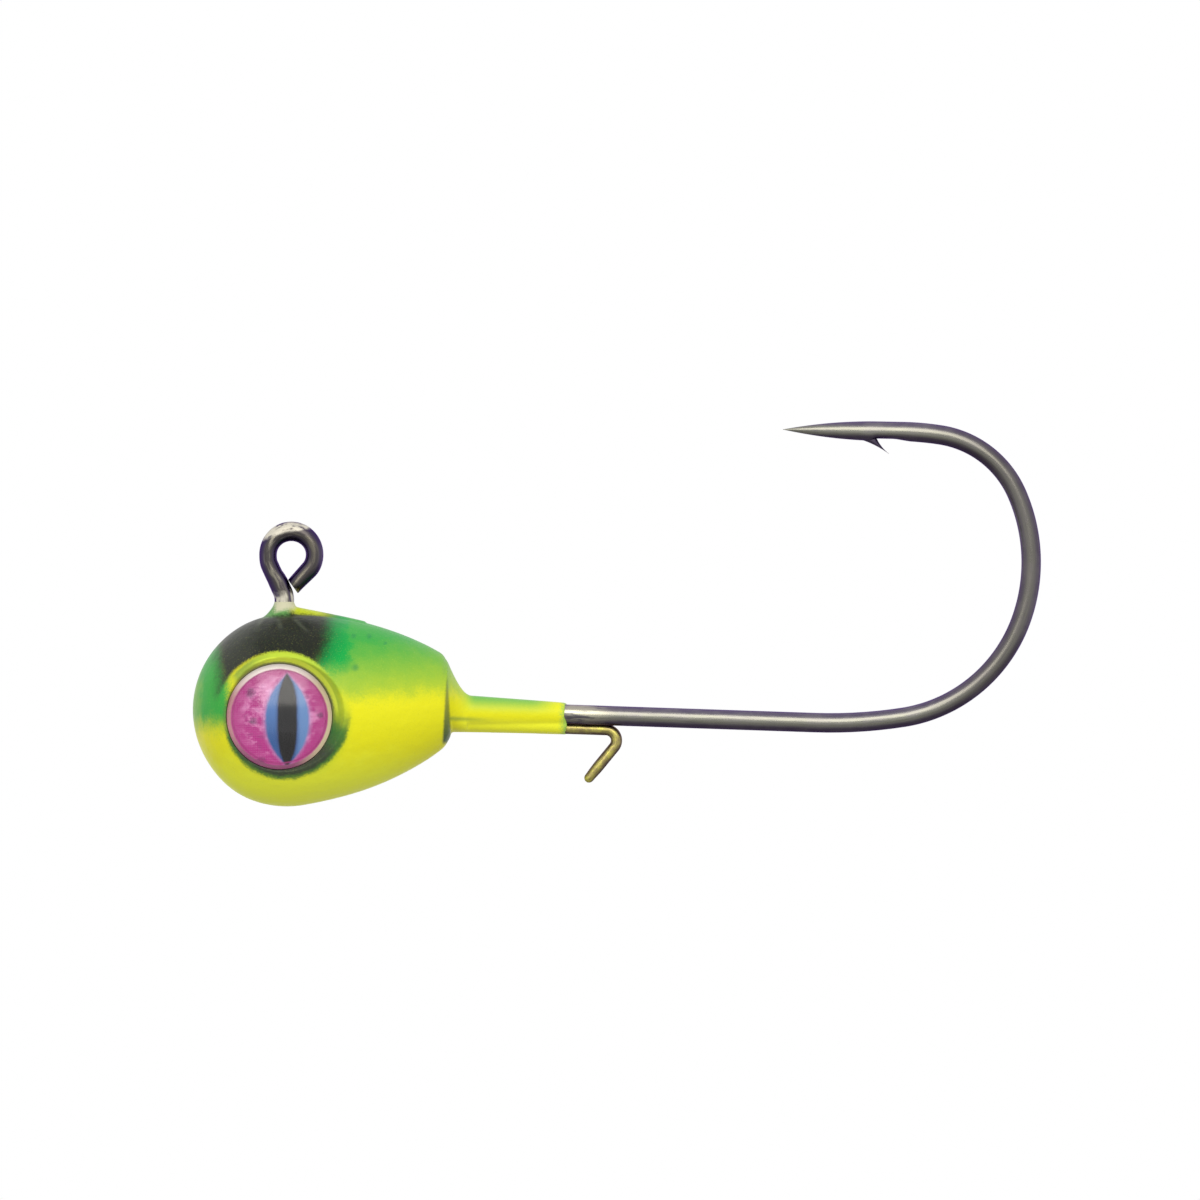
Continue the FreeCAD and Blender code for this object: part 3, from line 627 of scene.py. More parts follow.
def shape_head(points):
    """Lay the mould seam, fill the chin, tuck belly and heel, and fray the paint's rear end."""
    seam = np.exp(-(points[:, 1] / SEAM_HALF_WIDTH) ** 2) * SEAM_HEIGHT
    ahead_of_neck = 1 - smooth_step(points[:, 0], *BODY_END)
    off_boss = 1 - smooth_step(points[:, 2], *BODY_TOP)
    out = points - np.array(BALL_CENTRE)
    out /= np.linalg.norm(out, axis=1)[:, None]
    points += out * (seam * ahead_of_neck * off_boss)[:, None]

    around = np.arctan2(out[:, 2], out[:, 0])
    chin = bulge(around, CHIN_ANGLE, CHIN_SPREAD) * CHIN_FULLNESS
    belly = bulge(around, BELLY_ANGLE, BELLY_SPREAD) * BELLY_TUCK
    on_rim = smooth_step(np.hypot(out[:, 2], out[:, 0]), *OUTLINE_RIM)
    points += out * ((chin - belly) * on_rim * ahead_of_neck)[:, None]

    from_heel = np.hypot(points[:, 0] - HEEL.x, points[:, 2] - HEEL.z) / HEEL_SIZE
    points[:, 0] -= np.exp(-from_heel ** 2) * HEEL_TUCK

    near_end = smooth_step(points[:, 0], *RAGGED_EDGE)
    frayed = near_end > 0
    ragged = np.array([noise.noise(Vector(p) * RAGGED_SCALE) for p in points[frayed]])
    points[frayed, 0] += ragged * near_end[frayed] * RAGGED_DEPTH
    return points


def make_head():
    """The painted casting, melted into one skin from its solids, with both sockets cut."""
    head = merged("painted_head", ball_and_flank())
    for side in (-1, 1):
        cut(head, mesh_object("socket_tool", *socket_tool(side)))
    joined(head, merged("head_additions", flare(), *neck(), boss(), ridge_behind_boss()))
    cast(head)
    set_coordinates(head, shape_head(coordinates(head)))
    return head


def make_core(head):
    """The lead under the paint: the painted skin taken in by the coat's thickness."""
    core = bpy.data.objects.new("lead_core", head.data.copy())
    bpy.context.scene.collection.objects.link(core)
    normals = np.empty(len(core.data.vertices) * 3)
    core.data.vertices.foreach_get("normal", normals)
    set_coordinates(core, coordinates(core) - COAT * normals.reshape(-1, 3))
    return core


# ---------------------------------------------------------------- eyes

def make_dome(side, name):
    """A clear dome with a rounded shoulder, open below where it is bonded to the print."""
    cap_radius = (EYE_RADIUS ** 2 + DOME_CROWN ** 2) / (2 * DOME_CROWN)
    cap_angle = acos((cap_radius - DOME_CROWN) / cap_radius)
    profile = [(DOME_BASE + DOME_LIFT, EYE_RADIUS - DOME_INSET)]
    shoulder_out = DOME_BASE + DOME_EDGE - DOME_SHOULDER / 2
    for a in spaced(0, pi / 2 - cap_angle, 8):
        radius = EYE_RADIUS - DOME_SHOULDER * (1 - cos(a))
        profile.append((shoulder_out + DOME_SHOULDER * sin(a), radius))
    crown = DOME_BASE + DOME_EDGE + DOME_CROWN
    for a in spaced(cap_angle * DOME_CAP_SHARE, DOME_TOP_ANGLE, 60):
        profile.append((crown - cap_radius * (1 - cos(a)), cap_radius * sin(a)))
    turn = Matrix.Translation(EYE_CENTRE) @ Matrix.Rotation(side * pi / 2, 4, "Z")
    vertices, faces = turned(profile, turn, 160)
    first_cap = len(faces) - 2
    faces.pop(first_cap)
    return mesh_object(name, vertices, faces)


# ---------------------------------------------------------------- materials

class Finish:
    """A material's node tree, with short ways to add the nodes that these finishes use."""

    def __init__(self, name):
        self.material = bpy.data.materials.new(name)
        self.material.use_nodes = True
        self.tree = self.material.node_tree
        self.shader = self.tree.nodes["Principled BSDF"]
        self.output = self.tree.nodes["Material Output"]

    def put(self, socket, value):
        if isinstance(value, bpy.types.NodeSocket):
            self.tree.links.new(value, socket)
        elif isinstance(value, (tuple, list)) and len(socket.default_value) == 4:
            socket.default_value = (*value[:3], 1.0)
        else:
            socket.default_value = value

    def node(self, kind, *values, **settings):
        node = self.tree.nodes.new(kind)
        for key, value in settings.items():
            setattr(node, key, value)
        for socket, value in zip(node.inputs, values):
            if value is not None:
                self.put(socket, value)
        return node

    def math(self, operation, a, b=None, clamp=False):
        return self.node("ShaderNodeMath", a, b, operation=operation, use_clamp=clamp).outputs[0]

    def vector(self, operation, a, b=None):
        return self.node("ShaderNodeVectorMath", a, b, operation=operation).outputs[0]

    def add(self, a, b):
        return self.math("ADD", a, b)

    def times(self, a, b):
        return self.math("MULTIPLY", a, b)

    def minus(self, a, b):
        return self.math("SUBTRACT", a, b)

    def larger(self, a, b):
        return self.math("MAXIMUM", a, b)

    def absolute(self, a):
        return self.math("ABSOLUTE", a)

    def hypot(self, a, b):
        return self.math("SQRT", self.add(self.times(a, a), self.times(b, b)))

    def less(self, a):
        """What is left of 1."""
        return self.math("SUBTRACT", 1.0, a, clamp=True)

    def axes(self, place):
        return self.node("ShaderNodeSeparateXYZ", place).outputs

    def from_eye(self, x, z):
        """A place in the side view, in millimetres from the eye's centre."""
        return self.minus(x, EYE_CENTRE.x / MM), self.minus(z, EYE_CENTRE.z / MM)

    def step(self, value, low, high):
        node = self.node("ShaderNodeMapRange", value, low, high, interpolation_type="SMOOTHSTEP")
        return node.outputs[0]

    def band(self, value, low, high, soft):
        """1 between low and high, with soft edges."""
        rise = self.step(value, low - soft, low + soft)
        return self.times(rise, self.step(value, high + soft, high - soft))

    def mix(self, share, a, b):
        node = self.node("ShaderNodeMix", data_type="RGBA")
        self.put(node.inputs["Factor"], share)
        self.put(node.inputs[6], a)
        self.put(node.inputs[7], b)
        return node.outputs[2]

    def space(self, scale=(1, 1, 1)):
        """Object coordinates in millimetres, stretched."""
        place = self.node("ShaderNodeTexCoord").outputs["Object"]
        return self.vector("MULTIPLY", place, tuple(s / MM for s in scale))

    def wire_space(self, scale=(1, 1, 1)):
        """A wire's own coordinates in millimetres, stretched."""
        place = self.node("ShaderNodeAttribute", attribute_name="wire_space").outputs["Vector"]
        return self.vector("MULTIPLY", place, tuple(s / MM for s in scale))

    def noise(self, place, scale, detail=2.0, roughness=0.5, centred=False):
        node = self.node("ShaderNodeTexNoise", place)
        self.put(node.inputs["Scale"], scale)
        self.put(node.inputs["Detail"], detail)
        self.put(node.inputs["Roughness"], roughness)
        value = node.outputs[0]
        return self.minus(value, 0.5) if centred else value

    def bump(self, height, depth, normal=None):
        node = self.node("ShaderNodeBump")
        self.put(node.inputs["Strength"], 1.0)
        self.put(node.inputs["Distance"], depth)
        self.put(node.inputs["Height"], height)
        if normal is not None:
            self.put(node.inputs["Normal"], normal)
        return node.outputs[0]

    def set(self, **values):
        for key, value in values.items():
            self.put(self.shader.inputs[key.replace("_", " ")], value)
        return self


def black_nickel():
    """Dark plating over drawn wire with fine lines along it; warm on its sides and purple along its
    edges, which is painted shade and reflection.

    The line eye is the darkest, its left side lighter as painted light; it is bare and pale over its top
    and where its leg leaves the paint, partly wear and partly a painted highlight.
    """
    f = Finish("black_nickel")
    drawn = f.noise(f.wire_space((1, 1, 0.04)), 24.0, 3.0, 0.6)
    cloud = f.noise(f.space(), 1.1, 4.0, 0.6)
    grain = f.noise(f.space(), 22.0, 2.0)
    x, _, z = f.axes(f.space())
    across = f.axes(f.wire_space())[0]
    off_side = f.add(f.absolute(across), f.times(f.minus(drawn, 0.5), 0.10))
    # painted shade and reflection: warm on the wire's sides, darker purple along its edges
    edge = f.step(off_side, 0.13, 0.33)
    tone = f.mix(edge, (0.225, 0.225, 0.190), (0.130, 0.108, 0.165))
    tone = f.mix(f.times(f.step(cloud, 0.40, 0.65), 0.35), tone, (0.245, 0.230, 0.235))
    tone = f.mix(f.times(f.step(drawn, 0.50, 0.75), 0.40), tone, (0.34, 0.33, 0.27))
    tone = f.mix(f.times(f.step(drawn, 0.5, 0.2), 0.50), tone, (0.075, 0.055, 0.105))

    # the wire beside the paint, scuffed bright
    streaks = f.noise(f.wire_space((1, 1, 0.16)), 4.2, 3.0, 0.6)
    scuffed = f.times(f.step(x, 16.0, 14.2), f.step(x, 13.0, 13.5))
    bright = f.times(f.times(scuffed, f.step(streaks, 0.60, 0.48)), 0.60)
    tone = f.mix(bright, tone, (0.56, 0.53, 0.40))
    dark = f.times(f.times(scuffed, f.step(streaks, 0.54, 0.64)), 0.60)
    tone = f.mix(dark, tone, (0.070, 0.055, 0.090))

    # painted shade: darker round the bend, below the shank and along one side of the point
    tone = f.mix(f.times(f.step(x, 29.5, 34.5), 0.50), tone, (0.060, 0.050, 0.052))
    low_side = f.times(f.step(across, -0.16, -0.34), f.step(z, -6.6, -7.4))
    on_point = f.times(f.step(z, 3.4, 5.0), f.step(x, 8.0, 12.0))
    point_side = f.times(f.step(across, 0.10, 0.30), on_point)
    tone = f.mix(f.times(f.add(low_side, point_side), 0.60), tone, (0.030, 0.018, 0.040))

    # the line eye and its leg
    patch = f.noise(f.space(), 1.6, 3.0, 0.6, centred=True)
    ahead = f.step(x, 2.0, 1.2)
    # painted light: the loop lighter on its left than on its right; its edges darker as painted shade
    painted_light_tone = f.mix(f.step(x, -0.4, 0.6), (0.215, 0.200, 0.160), (0.120, 0.108, 0.085))
    eye_tone = f.mix(f.step(streaks, 0.44, 0.60), (0.058, 0.050, 0.052), painted_light_tone)
    tone = f.mix(f.times(ahead, 0.90), tone, f.mix(edge, eye_tone, (0.042, 0.028, 0.080)))
    # partly wear, partly a painted highlight: pale bare metal over the loop's top and on the leg by the
    # paint
    leg = f.times(f.step(f.add(z, f.times(patch, 1.2)), -1.66, -2.05), f.step(streaks, 0.60, 0.46))
    outer = f.step(f.hypot(x, z), 1.00, 1.22)
    crown = f.step(f.add(f.add(z, f.times(x, -0.22)), f.times(patch, 0.5)), 0.96, 1.16)
    chips = f.noise(f.wire_space((1, 1, 0.45)), 3.4, 3.0, 0.6)
    chips = f.add(chips, f.times(f.step(x, -0.2, 0.7), 0.10))
    crown = f.times(f.times(crown, outer), f.step(chips, 0.66, 0.50))
    wear_and_highlight = f.times(f.larger(leg, crown), ahead)
    tone = f.mix(f.times(wear_and_highlight, 0.90), tone, (0.70, 0.67, 0.55))
    f.set(Base_Color=tone, Metallic=f.less(f.times(wear_and_highlight, 0.75)), Specular_Tint=(0.52, 0.42, 0.74, 1.0))
    rough = f.add(f.times(cloud, 0.12), f.add(f.times(grain, 0.06), 0.19))
    f.set(Roughness=f.add(rough, f.times(wear_and_highlight, 0.20)))
    f.set(Normal=f.bump(f.add(drawn, f.times(grain, 0.6)), 0.0035e-3))
    return f.material


def brass():
    """Dull brass wire, darker along its edges as painted shade, browned in streaks, and brighter where
    it is handled.
    """
    f = Finish("brass_wire")
    drawn = f.noise(f.wire_space((1, 1, 0.06)), 30.0, 3.0)
    cloud = f.noise(f.space(), 2.2, 4.0, 0.6)
    off_side = f.absolute(f.axes(f.wire_space())[0])
    # painted shade: the wire darker along its edges
    edge = f.step(f.add(off_side, f.times(f.minus(drawn, 0.5), 0.10)), 0.10, 0.24)
    tone = f.mix(f.step(cloud, 0.35, 0.65), (0.33, 0.27, 0.11), (0.58, 0.54, 0.12))
    tone = f.mix(f.times(f.step(drawn, 0.52, 0.3), 0.7), tone, (0.16, 0.115, 0.08))
    tone = f.mix(f.times(edge, 0.80), tone, (0.110, 0.075, 0.100))
    f.set(Base_Color=tone, Metallic=1.0, Specular_Tint=(0.34, 0.25, 0.30, 1.0))
    f.set(Roughness=f.add(f.times(cloud, 0.2), 0.24))
    f.set(Normal=f.bump(drawn, 0.004e-3))
    return f.material


def lead():
    """Bare cast lead: dull, with a fine grain."""
    f = Finish("cast_lead")
    grain = f.noise(f.space(), 9.0, 5.0, 0.6)
    f.set(Base_Color=f.mix(grain, (0.16, 0.16, 0.17), (0.30, 0.30, 0.31)), Metallic=1.0)
    f.set(Roughness=f.add(f.times(grain, 0.3), 0.4), Normal=f.bump(grain, 0.02e-3))
    return f.material


CHARTREUSE = (0.84, 0.82, 0.014)
PALE_CHARTREUSE = (0.90, 0.96, 0.050)
GREEN = (0.003, 0.375, 0.062)
DEEP_GREEN = (0.006, 0.150, 0.040)
BLACK = (0.012, 0.014, 0.010)
CREAM = (0.62, 0.61, 0.43)
SHANK_FALL = round(tan(SHANK_DROP), 4)

# spots as (x, z, size) in millimetres: on the paint, and on the print from the eye's centre
FLECKS = ((3.16, -5.46, 0.16), (3.82, -3.95, 0.12), (3.07, -3.94, 0.12), (4.6, -4.3, 0.07))
INK_SPOTS = ((-1.39, 1.21, 0.24), (-1.21, -0.11, 0.17), (-0.87, -2.02, 0.22), (1.95, 0.15, 0.16))
SCREEN_PITCH = 0.085


def head_paint():
    """Airbrushed powder paint: chartreuse, green on back and nose, black round boss and eye."""
    f = Finish("head_paint")
    place = f.space()
    x, y, z = f.axes(place)
    dust = f.noise(place, 11.0, 3.0, 0.8, centred=True)
    mist = f.noise(place, 1.3, 3.0, 0.6, centred=True)
    speck = f.noise(place, 18.0, 1.0, 0.6)

    eye_x, eye_z = f.from_eye(x, z)
    from_eye = f.hypot(eye_x, eye_z)
    round_eye = f.math("ARCTAN2", eye_z, eye_x)
    dusty_eye = f.add(from_eye, f.times(dust, 0.30))

    # base coat, a little greener and paler towards the belly
    tone = f.mix(f.step(f.add(z, f.times(mist, 1.4)), -8.8, -11.4), CHARTREUSE, PALE_CHARTREUSE)

    # green: in a long fade over the back, denser beside the black, on the nose and beside the eye
    low = f.add(z, f.add(f.times(mist, 0.8), f.times(dust, 0.7)))
    low = f.add(low, f.times(f.minus(4.0, x), 0.05))
    climbed = f.larger(f.add(low, 7.35), 0.0)
    back = f.math("MINIMUM", f.times(f.math("SQRT", climbed), 0.53), 0.95)
    back = f.times(f.times(back, f.step(climbed, -0.2, 0.9)), f.step(x, 0.2, 1.4))
    spread = f.add(x, f.add(f.times(mist, 1.2), f.times(dust, 0.9)))
    hot = f.times(f.step(spread, 0.9, 1.6), f.step(spread, 5.2, 2.5))
    hot = f.times(hot, f.step(f.add(z, f.add(f.times(dust, 0.8), f.times(mist, 0.8))), -7.2, -5.0))
    slope = f.add(x, f.times(f.add(z, 4.6), 0.10))
    nose = f.times(f.step(f.add(slope, f.times(dust, 0.8)), -2.8, -3.5), f.step(low, -8.6, -7.2))
    nose = f.times(nose, f.add(f.times(f.step(f.add(x, f.times(mist, 0.8)), -4.75, -4.1), 0.18), 0.77))
    beside = f.band(round_eye, radians(-50), radians(48), radians(20))
    beside = f.times(f.times(f.step(dusty_eye, 3.75, 2.75), beside), 0.45)
    green = f.larger(f.larger(back, hot), f.larger(nose, beside))
    tone = f.mix(green, tone, GREEN)

    # rear face: a dark sliver behind the rim, painted shade with some green overspray; the collar's top;
    # the crease between shank and keeper, painted shade
    climb = f.math("DIVIDE", f.add(z, 9.15), 3.3, clamp=True)
    half = f.times(f.minus(1.0, climb), 0.20)
    off = f.absolute(f.minus(f.add(x, f.times(dust, 0.10)), 7.59))
    sliver = f.step(f.minus(f.add(half, 0.04), off), -0.05, 0.09)
    sliver = f.times(sliver, f.times(f.step(z, -9.3, -9.0), f.step(z, -5.7, -6.3)))
    faint = f.minus(1.0, f.times(climb, 0.50))
    tone = f.mix(f.times(sliver, faint), tone, (0.040, 0.095, 0.045))
    level = f.add(f.add(z, f.times(x, SHANK_FALL)), f.times(dust, 0.12))
    collar = f.times(f.step(level, -7.50, -6.55), f.times(f.step(x, 8.0, 9.0), f.step(x, 13.4, 11.6)))
    tone = f.mix(f.times(collar, 0.90), tone, (0.10, 0.46, 0.10))
    # painted light: the collar's underside, which faces down, made paler and brighter
    under = f.times(f.step(level, -7.45, -7.90), f.step(x, 7.9, 8.6))
    tone = f.mix(f.times(under, 0.85), tone, (0.96, 0.98, 0.040))
    # painted shade: darker along the crease between shank and keeper
    crease = f.times(f.step(x, 10.2, 8.0), f.step(x, 7.6, 7.8))
    crease = f.times(f.band(level, -7.78, -7.60, 0.10), crease)
    tone = f.mix(f.times(crease, 0.60), tone, (0.16, 0.30, 0.06))
    feather = f.times(f.step(f.add(x, f.times(dust, 0.8)), 12.95, 13.35), 0.80)
    tone = f.mix(feather, tone, (0.25, 0.55, 0.12))

    # black, from the eye's ring up to the boss, greyer towards the nose as a painted sheen
    edge = f.add(f.times(dust, 0.75), f.times(mist, 0.45))
    fall = f.math("POWER", f.larger(f.minus(-4.1, z), 0.0), 1.5)
    behind = f.step(f.add(f.add(x, f.times(fall, 0.45)), edge), 2.95, 1.35)
    black = f.times(f.step(dusty_eye, 2.98, 3.22), f.step(f.add(slope, edge), -4.15, -3.15))
    black = f.times(f.times(black, behind), f.step(f.add(z, edge), -7.7, -6.6))
    # painted sheen: the black greyer towards the nose
    grey = f.mix(f.step(f.add(x, f.times(mist, 1.5)), -1.2, -2.6), BLACK, (0.034, 0.037, 0.030))
    tone = f.mix(black, tone, f.mix(f.step(behind, 0.92, 0.35), grey, DEEP_GREEN))

    # painted shade: darker lines along creases that run down from the boss
    for centre, lean in ((-0.66, 0.34), (0.04, 1.00), (-1.30, -0.55)):
        down = f.minus(-2.95, z)
        off = f.minus(f.add(x, f.times(dust, 0.45)), f.add(f.times(down, lean), centre))
        short = f.step(f.add(down, f.times(mist, 0.8)), 0.95, 0.35)
        line = f.times(f.step(f.absolute(off), 0.20, 0.02), short)
        line = f.times(f.times(line, f.step(down, 0.0, 0.25)), 0.35)
        tone = f.mix(line, tone, (0.13, 0.15, 0.11))

    # boss: bare-looking cream top, green foot, and a bright line along the ridge behind it
    boss_z = f.add(z, f.add(f.times(dust, 0.45), f.times(mist, 0.5)))
    ridge = f.step(f.absolute(f.add(y, f.times(dust, 0.6))), 0.85, 0.40)
    ridge = f.times(ridge, f.step(f.add(x, f.times(dust, 0.3)), -0.40, -0.05))
    ridge_end = f.step(f.add(x, f.times(dust, 0.8)), 2.4, 1.2)
    ridge = f.times(ridge, f.times(ridge_end, f.step(z, -4.2, -3.6)))
    tone = f.mix(f.times(ridge, 0.92), tone, (0.60, 0.70, 0.03))
    foot = f.times(f.step(boss_z, -3.12, -2.85), f.step(f.add(x, f.times(dust, 0.3)), 0.10, -0.25))
    tone = f.mix(f.times(foot, 0.85), tone, (0.14, 0.38, 0.10))
    bare = f.step(f.absolute(f.add(x, f.add(f.times(dust, 0.5), 0.28))), 0.66, 0.36)
    tone = f.mix(f.times(f.step(boss_z, -2.90, -2.55), bare), tone, CREAM)

    # the ring of the socket's bevel: bright over the top, drawn in at its ends, darker towards its left
    # end
    from_top = f.absolute(f.minus(f.add(round_eye, f.times(mist, 0.2)), radians(74)))
    outline = f.minus(3.20, f.times(f.step(from_top, radians(10), radians(68)), 0.15))
    towards_left = f.step(f.add(eye_x, f.times(mist, 0.8)), -0.3, -1.7)
    ring = f.mix(towards_left, (0.48, 0.65, 0.045), (0.27, 0.38, 0.050))
    # painted light: the ring's inner band, where the bevel faces down, made brighter
    painted_light_tone = f.mix(towards_left, (0.80, 0.97, 0.080), (0.30, 0.42, 0.055))
    ring = f.mix(f.step(from_eye, 2.92, 2.84), ring, painted_light_tone)
    # painted shade: a darker line at the ring's inner edge
    ring = f.mix(f.step(f.add(from_eye, f.times(dust, 0.1)), 2.70, 2.62), ring, (0.26, 0.31, 0.080))
    inside = f.step(f.minus(dusty_eye, outline), 0.06, -0.14)
    inside = f.times(inside, f.step(from_top, radians(76), radians(60)))
    tone = f.mix(f.times(inside, 0.94), tone, ring)
    # painted shade, with some dark green: a dark line round all but the top of the eye, where it meets
    # its socket
    seat = f.times(f.step(dusty_eye, 2.80, 2.62), f.step(eye_z, 2.2, 0.6))
    tone = f.mix(f.times(seat, 0.5), tone, (0.10, 0.14, 0.06))

    # dark crescent that grows wider round the eye, from the left to the right, green outside
    turn = f.add(round_eye, f.times(mist, 0.25))
    reach = f.add(f.times(f.add(round_eye, radians(170)), 0.263), 2.64)
    over = f.add(f.minus(dusty_eye, reach), f.times(mist, 0.25))
    below = f.band(turn, radians(-168), radians(-4), radians(12))
    shade = f.times(f.step(over, 0.14, -0.08), below)
    tone = f.mix(f.times(shade, 0.88), tone, DEEP_GREEN)
    below = f.band(turn, radians(-160), radians(-26), radians(16))
    deep = f.times(f.step(over, -0.02, -0.24), below)
    tone = f.mix(f.times(deep, 0.92), tone, (0.050, 0.058, 0.044))

    # stray flecks, and fine speckle over all of it
    for fleck_x, fleck_z, size in FLECKS:
        dx = f.minus(f.add(x, f.times(dust, 0.35)), fleck_x)
        dz = f.minus(f.add(z, f.times(mist, 0.2)), fleck_z)
        away = f.hypot(dx, dz)
        tone = f.mix(f.times(f.step(away, size * 1.6, size * 0.3), 0.55), tone, (0.012, 0.24, 0.075))
    tone = f.mix(f.times(f.step(speck, 0.60, 0.74), 0.14), tone, (0.12, 0.32, 0.05))
    tone = f.mix(f.times(f.step(speck, 0.38, 0.27), 0.10), tone, (0.90, 0.92, 0.20))

    f.set(Base_Color=tone, Roughness=f.add(f.times(f.noise(place, 2.5, 3.0), 0.16), 0.30))
    f.set(Specular_IOR_Level=0.15)
    peel = f.add(f.noise(place, 1.9, 2.0), f.times(f.noise(place, 12.0, 2.0), 0.12))
    f.set(Normal=f.bump(peel, 0.030e-3))
    return f.material


def eye_print():
    """The printed foil: pale rim with a painted highlight, mottled magenta iris on a fine screen, blue
    lens and a black slit.
    """
    f = Finish("eye_print")
    place = f.space()
    x, _, z = f.axes(place)
    eye_x, eye_z = f.from_eye(x, z)
    from_centre = f.hypot(eye_x, eye_z)
    ink = f.noise(place, 14.0, 2.0, centred=True)

    wash = f.add(f.noise(f.space((1.0, 1.0, 1.5)), 1.5, 5.0, 0.68), f.times(eye_z, 0.030))
    blot = f.noise(f.space((1.0, 1.0, 1.7)), 2.6, 3.0, 0.6)
    iris = f.mix(f.step(wash, 0.42, 0.60), (0.42, 0.010, 0.210), (0.66, 0.200, 0.460))
    iris = f.mix(f.times(f.step(wash, 0.58, 0.70), 0.6), iris, (0.80, 0.420, 0.700))
    iris = f.mix(f.times(f.step(blot, 0.55, 0.68), 0.45), iris, (0.26, 0.020, 0.160))
    iris = f.mix(f.times(f.step(from_centre, 1.50, 2.10), 0.80), iris, (0.43, 0.022, 0.220))
    for spot_x, spot_z, size in INK_SPOTS:
        dx = f.minus(f.add(eye_x, f.times(ink, 0.5)), spot_x)
        dz = f.minus(f.add(eye_z, f.times(blot, 0.2)), spot_z)
        away = f.hypot(dx, dz)
        iris = f.mix(f.times(f.step(away, size * 1.4, size * 0.3), 0.75), iris, (0.10, 0.012, 0.080))
    iris = f.mix(f.times(f.step(eye_x, -1.4, -2.1), 0.55), iris, (0.40, 0.012, 0.205))
    rows = f.math("SINE", f.times(z, 2 * pi / SCREEN_PITCH))
    columns = f.math("SINE", f.times(x, 2 * pi / SCREEN_PITCH))
    screen = f.step(f.add(rows, columns), 0.2, 1.8)
    iris = f.mix(f.times(screen, 0.16), iris, (0.90, 0.62, 0.80))

    lens_x = f.minus(eye_x, 0.37)
    lens_z = f.add(eye_z, 0.18)

    def lens(half_width, half_height, power, soft):
        """Inside a tall pointed lens, fuller for a higher power."""
        tall = f.math("POWER", f.absolute(f.math("DIVIDE", lens_z, half_height)), power)
        limit = f.times(f.minus(1.0, tall), half_width)
        gap = f.minus(limit, f.absolute(f.add(lens_x, f.times(ink, 0.10))))
        return f.step(gap, -soft, soft)

    upper = f.step(f.add(lens_z, f.times(ink, 0.5)), -1.1, 0.7)
    blue = f.mix(upper, (0.030, 0.095, 0.290), (0.080, 0.190, 0.470))
    blue = f.mix(f.times(f.step(lens_x, 0.2, 0.7), 0.7), blue, (0.150, 0.285, 0.580))
    tone = f.mix(f.times(lens(1.14, 2.26, 2.2, 0.16), 0.40), iris, (0.44, 0.34, 0.62))
    tone = f.mix(lens(1.02, 2.16, 2.3, 0.09), tone, blue)
    tone = f.mix(f.times(lens(0.50, 2.24, 3.4, 0.12), 0.7), tone, (0.03, 0.04, 0.12))
    tone = f.mix(lens(0.44, 2.22, 3.4, 0.06), tone, (0.002, 0.002, 0.003))

    line = f.band(from_centre, 2.18, 2.26, 0.03)
    tone = f.mix(f.times(line, 0.8), tone, (0.33, 0.03, 0.17))
    # painted highlight: the pale rim lighter up its sides and to the right, white and wider over its top
    raised = f.times(f.step(eye_z, 0.0, 2.0), 0.06)
    rim = f.step(f.add(f.add(from_centre, f.times(ink, 0.05)), raised), 2.28, 2.36)
    pale = f.mix(f.step(eye_z, -2.2, -0.5), (0.26, 0.070, 0.160), (0.50, 0.230, 0.260))
    pale = f.mix(f.times(f.step(eye_x, 0.6, 2.2), 0.8), pale, (0.68, 0.62, 0.38))
    pale = f.mix(f.step(f.add(eye_z, f.times(eye_x, -0.12)), 1.0, 2.4), pale, (0.97, 0.88, 0.85))
    tone = f.mix(rim, tone, pale)
    f.set(Base_Color=tone, Roughness=0.45, Specular_IOR_Level=0.1)
    f.set(Normal=f.bump(screen, 0.001e-3))
    return f.material


def adhesive():
    """The foam pad under the eye."""
    f = Finish("eye_adhesive")
    cells = f.noise(f.space(), 14.0, 4.0, 0.6)
    f.set(Base_Color=f.mix(cells, (0.55, 0.55, 0.52), (0.75, 0.75, 0.72)), Roughness=0.85)
    f.set(Normal=f.bump(cells, 0.01e-3))
    return f.material


def resin():
    """Clear domed resin, which lets lamps through to the print."""
    f = Finish("eye_resin")
    ripple = f.noise(f.space(), 0.8, 1.0)
    f.set(Base_Color=(1.0, 1.0, 1.0), Transmission_Weight=1.0, IOR=1.5)
    f.set(Roughness=f.add(f.times(f.noise(f.space(), 5.0, 2.0), 0.06), 0.14))
    f.set(Normal=f.bump(ripple, 0.01e-3))
    path = f.node("ShaderNodeLightPath")
    through = f.larger(path.outputs["Is Shadow Ray"], path.outputs["Is Diffuse Ray"])
    clear = f.node("ShaderNodeBsdfTransparent")
    mix = f.node("ShaderNodeMixShader", through, f.shader.outputs[0], clear.outputs[0])
    f.put(f.output.inputs["Surface"], mix.outputs[0])
    return f.material


# ---------------------------------------------------------------- studio

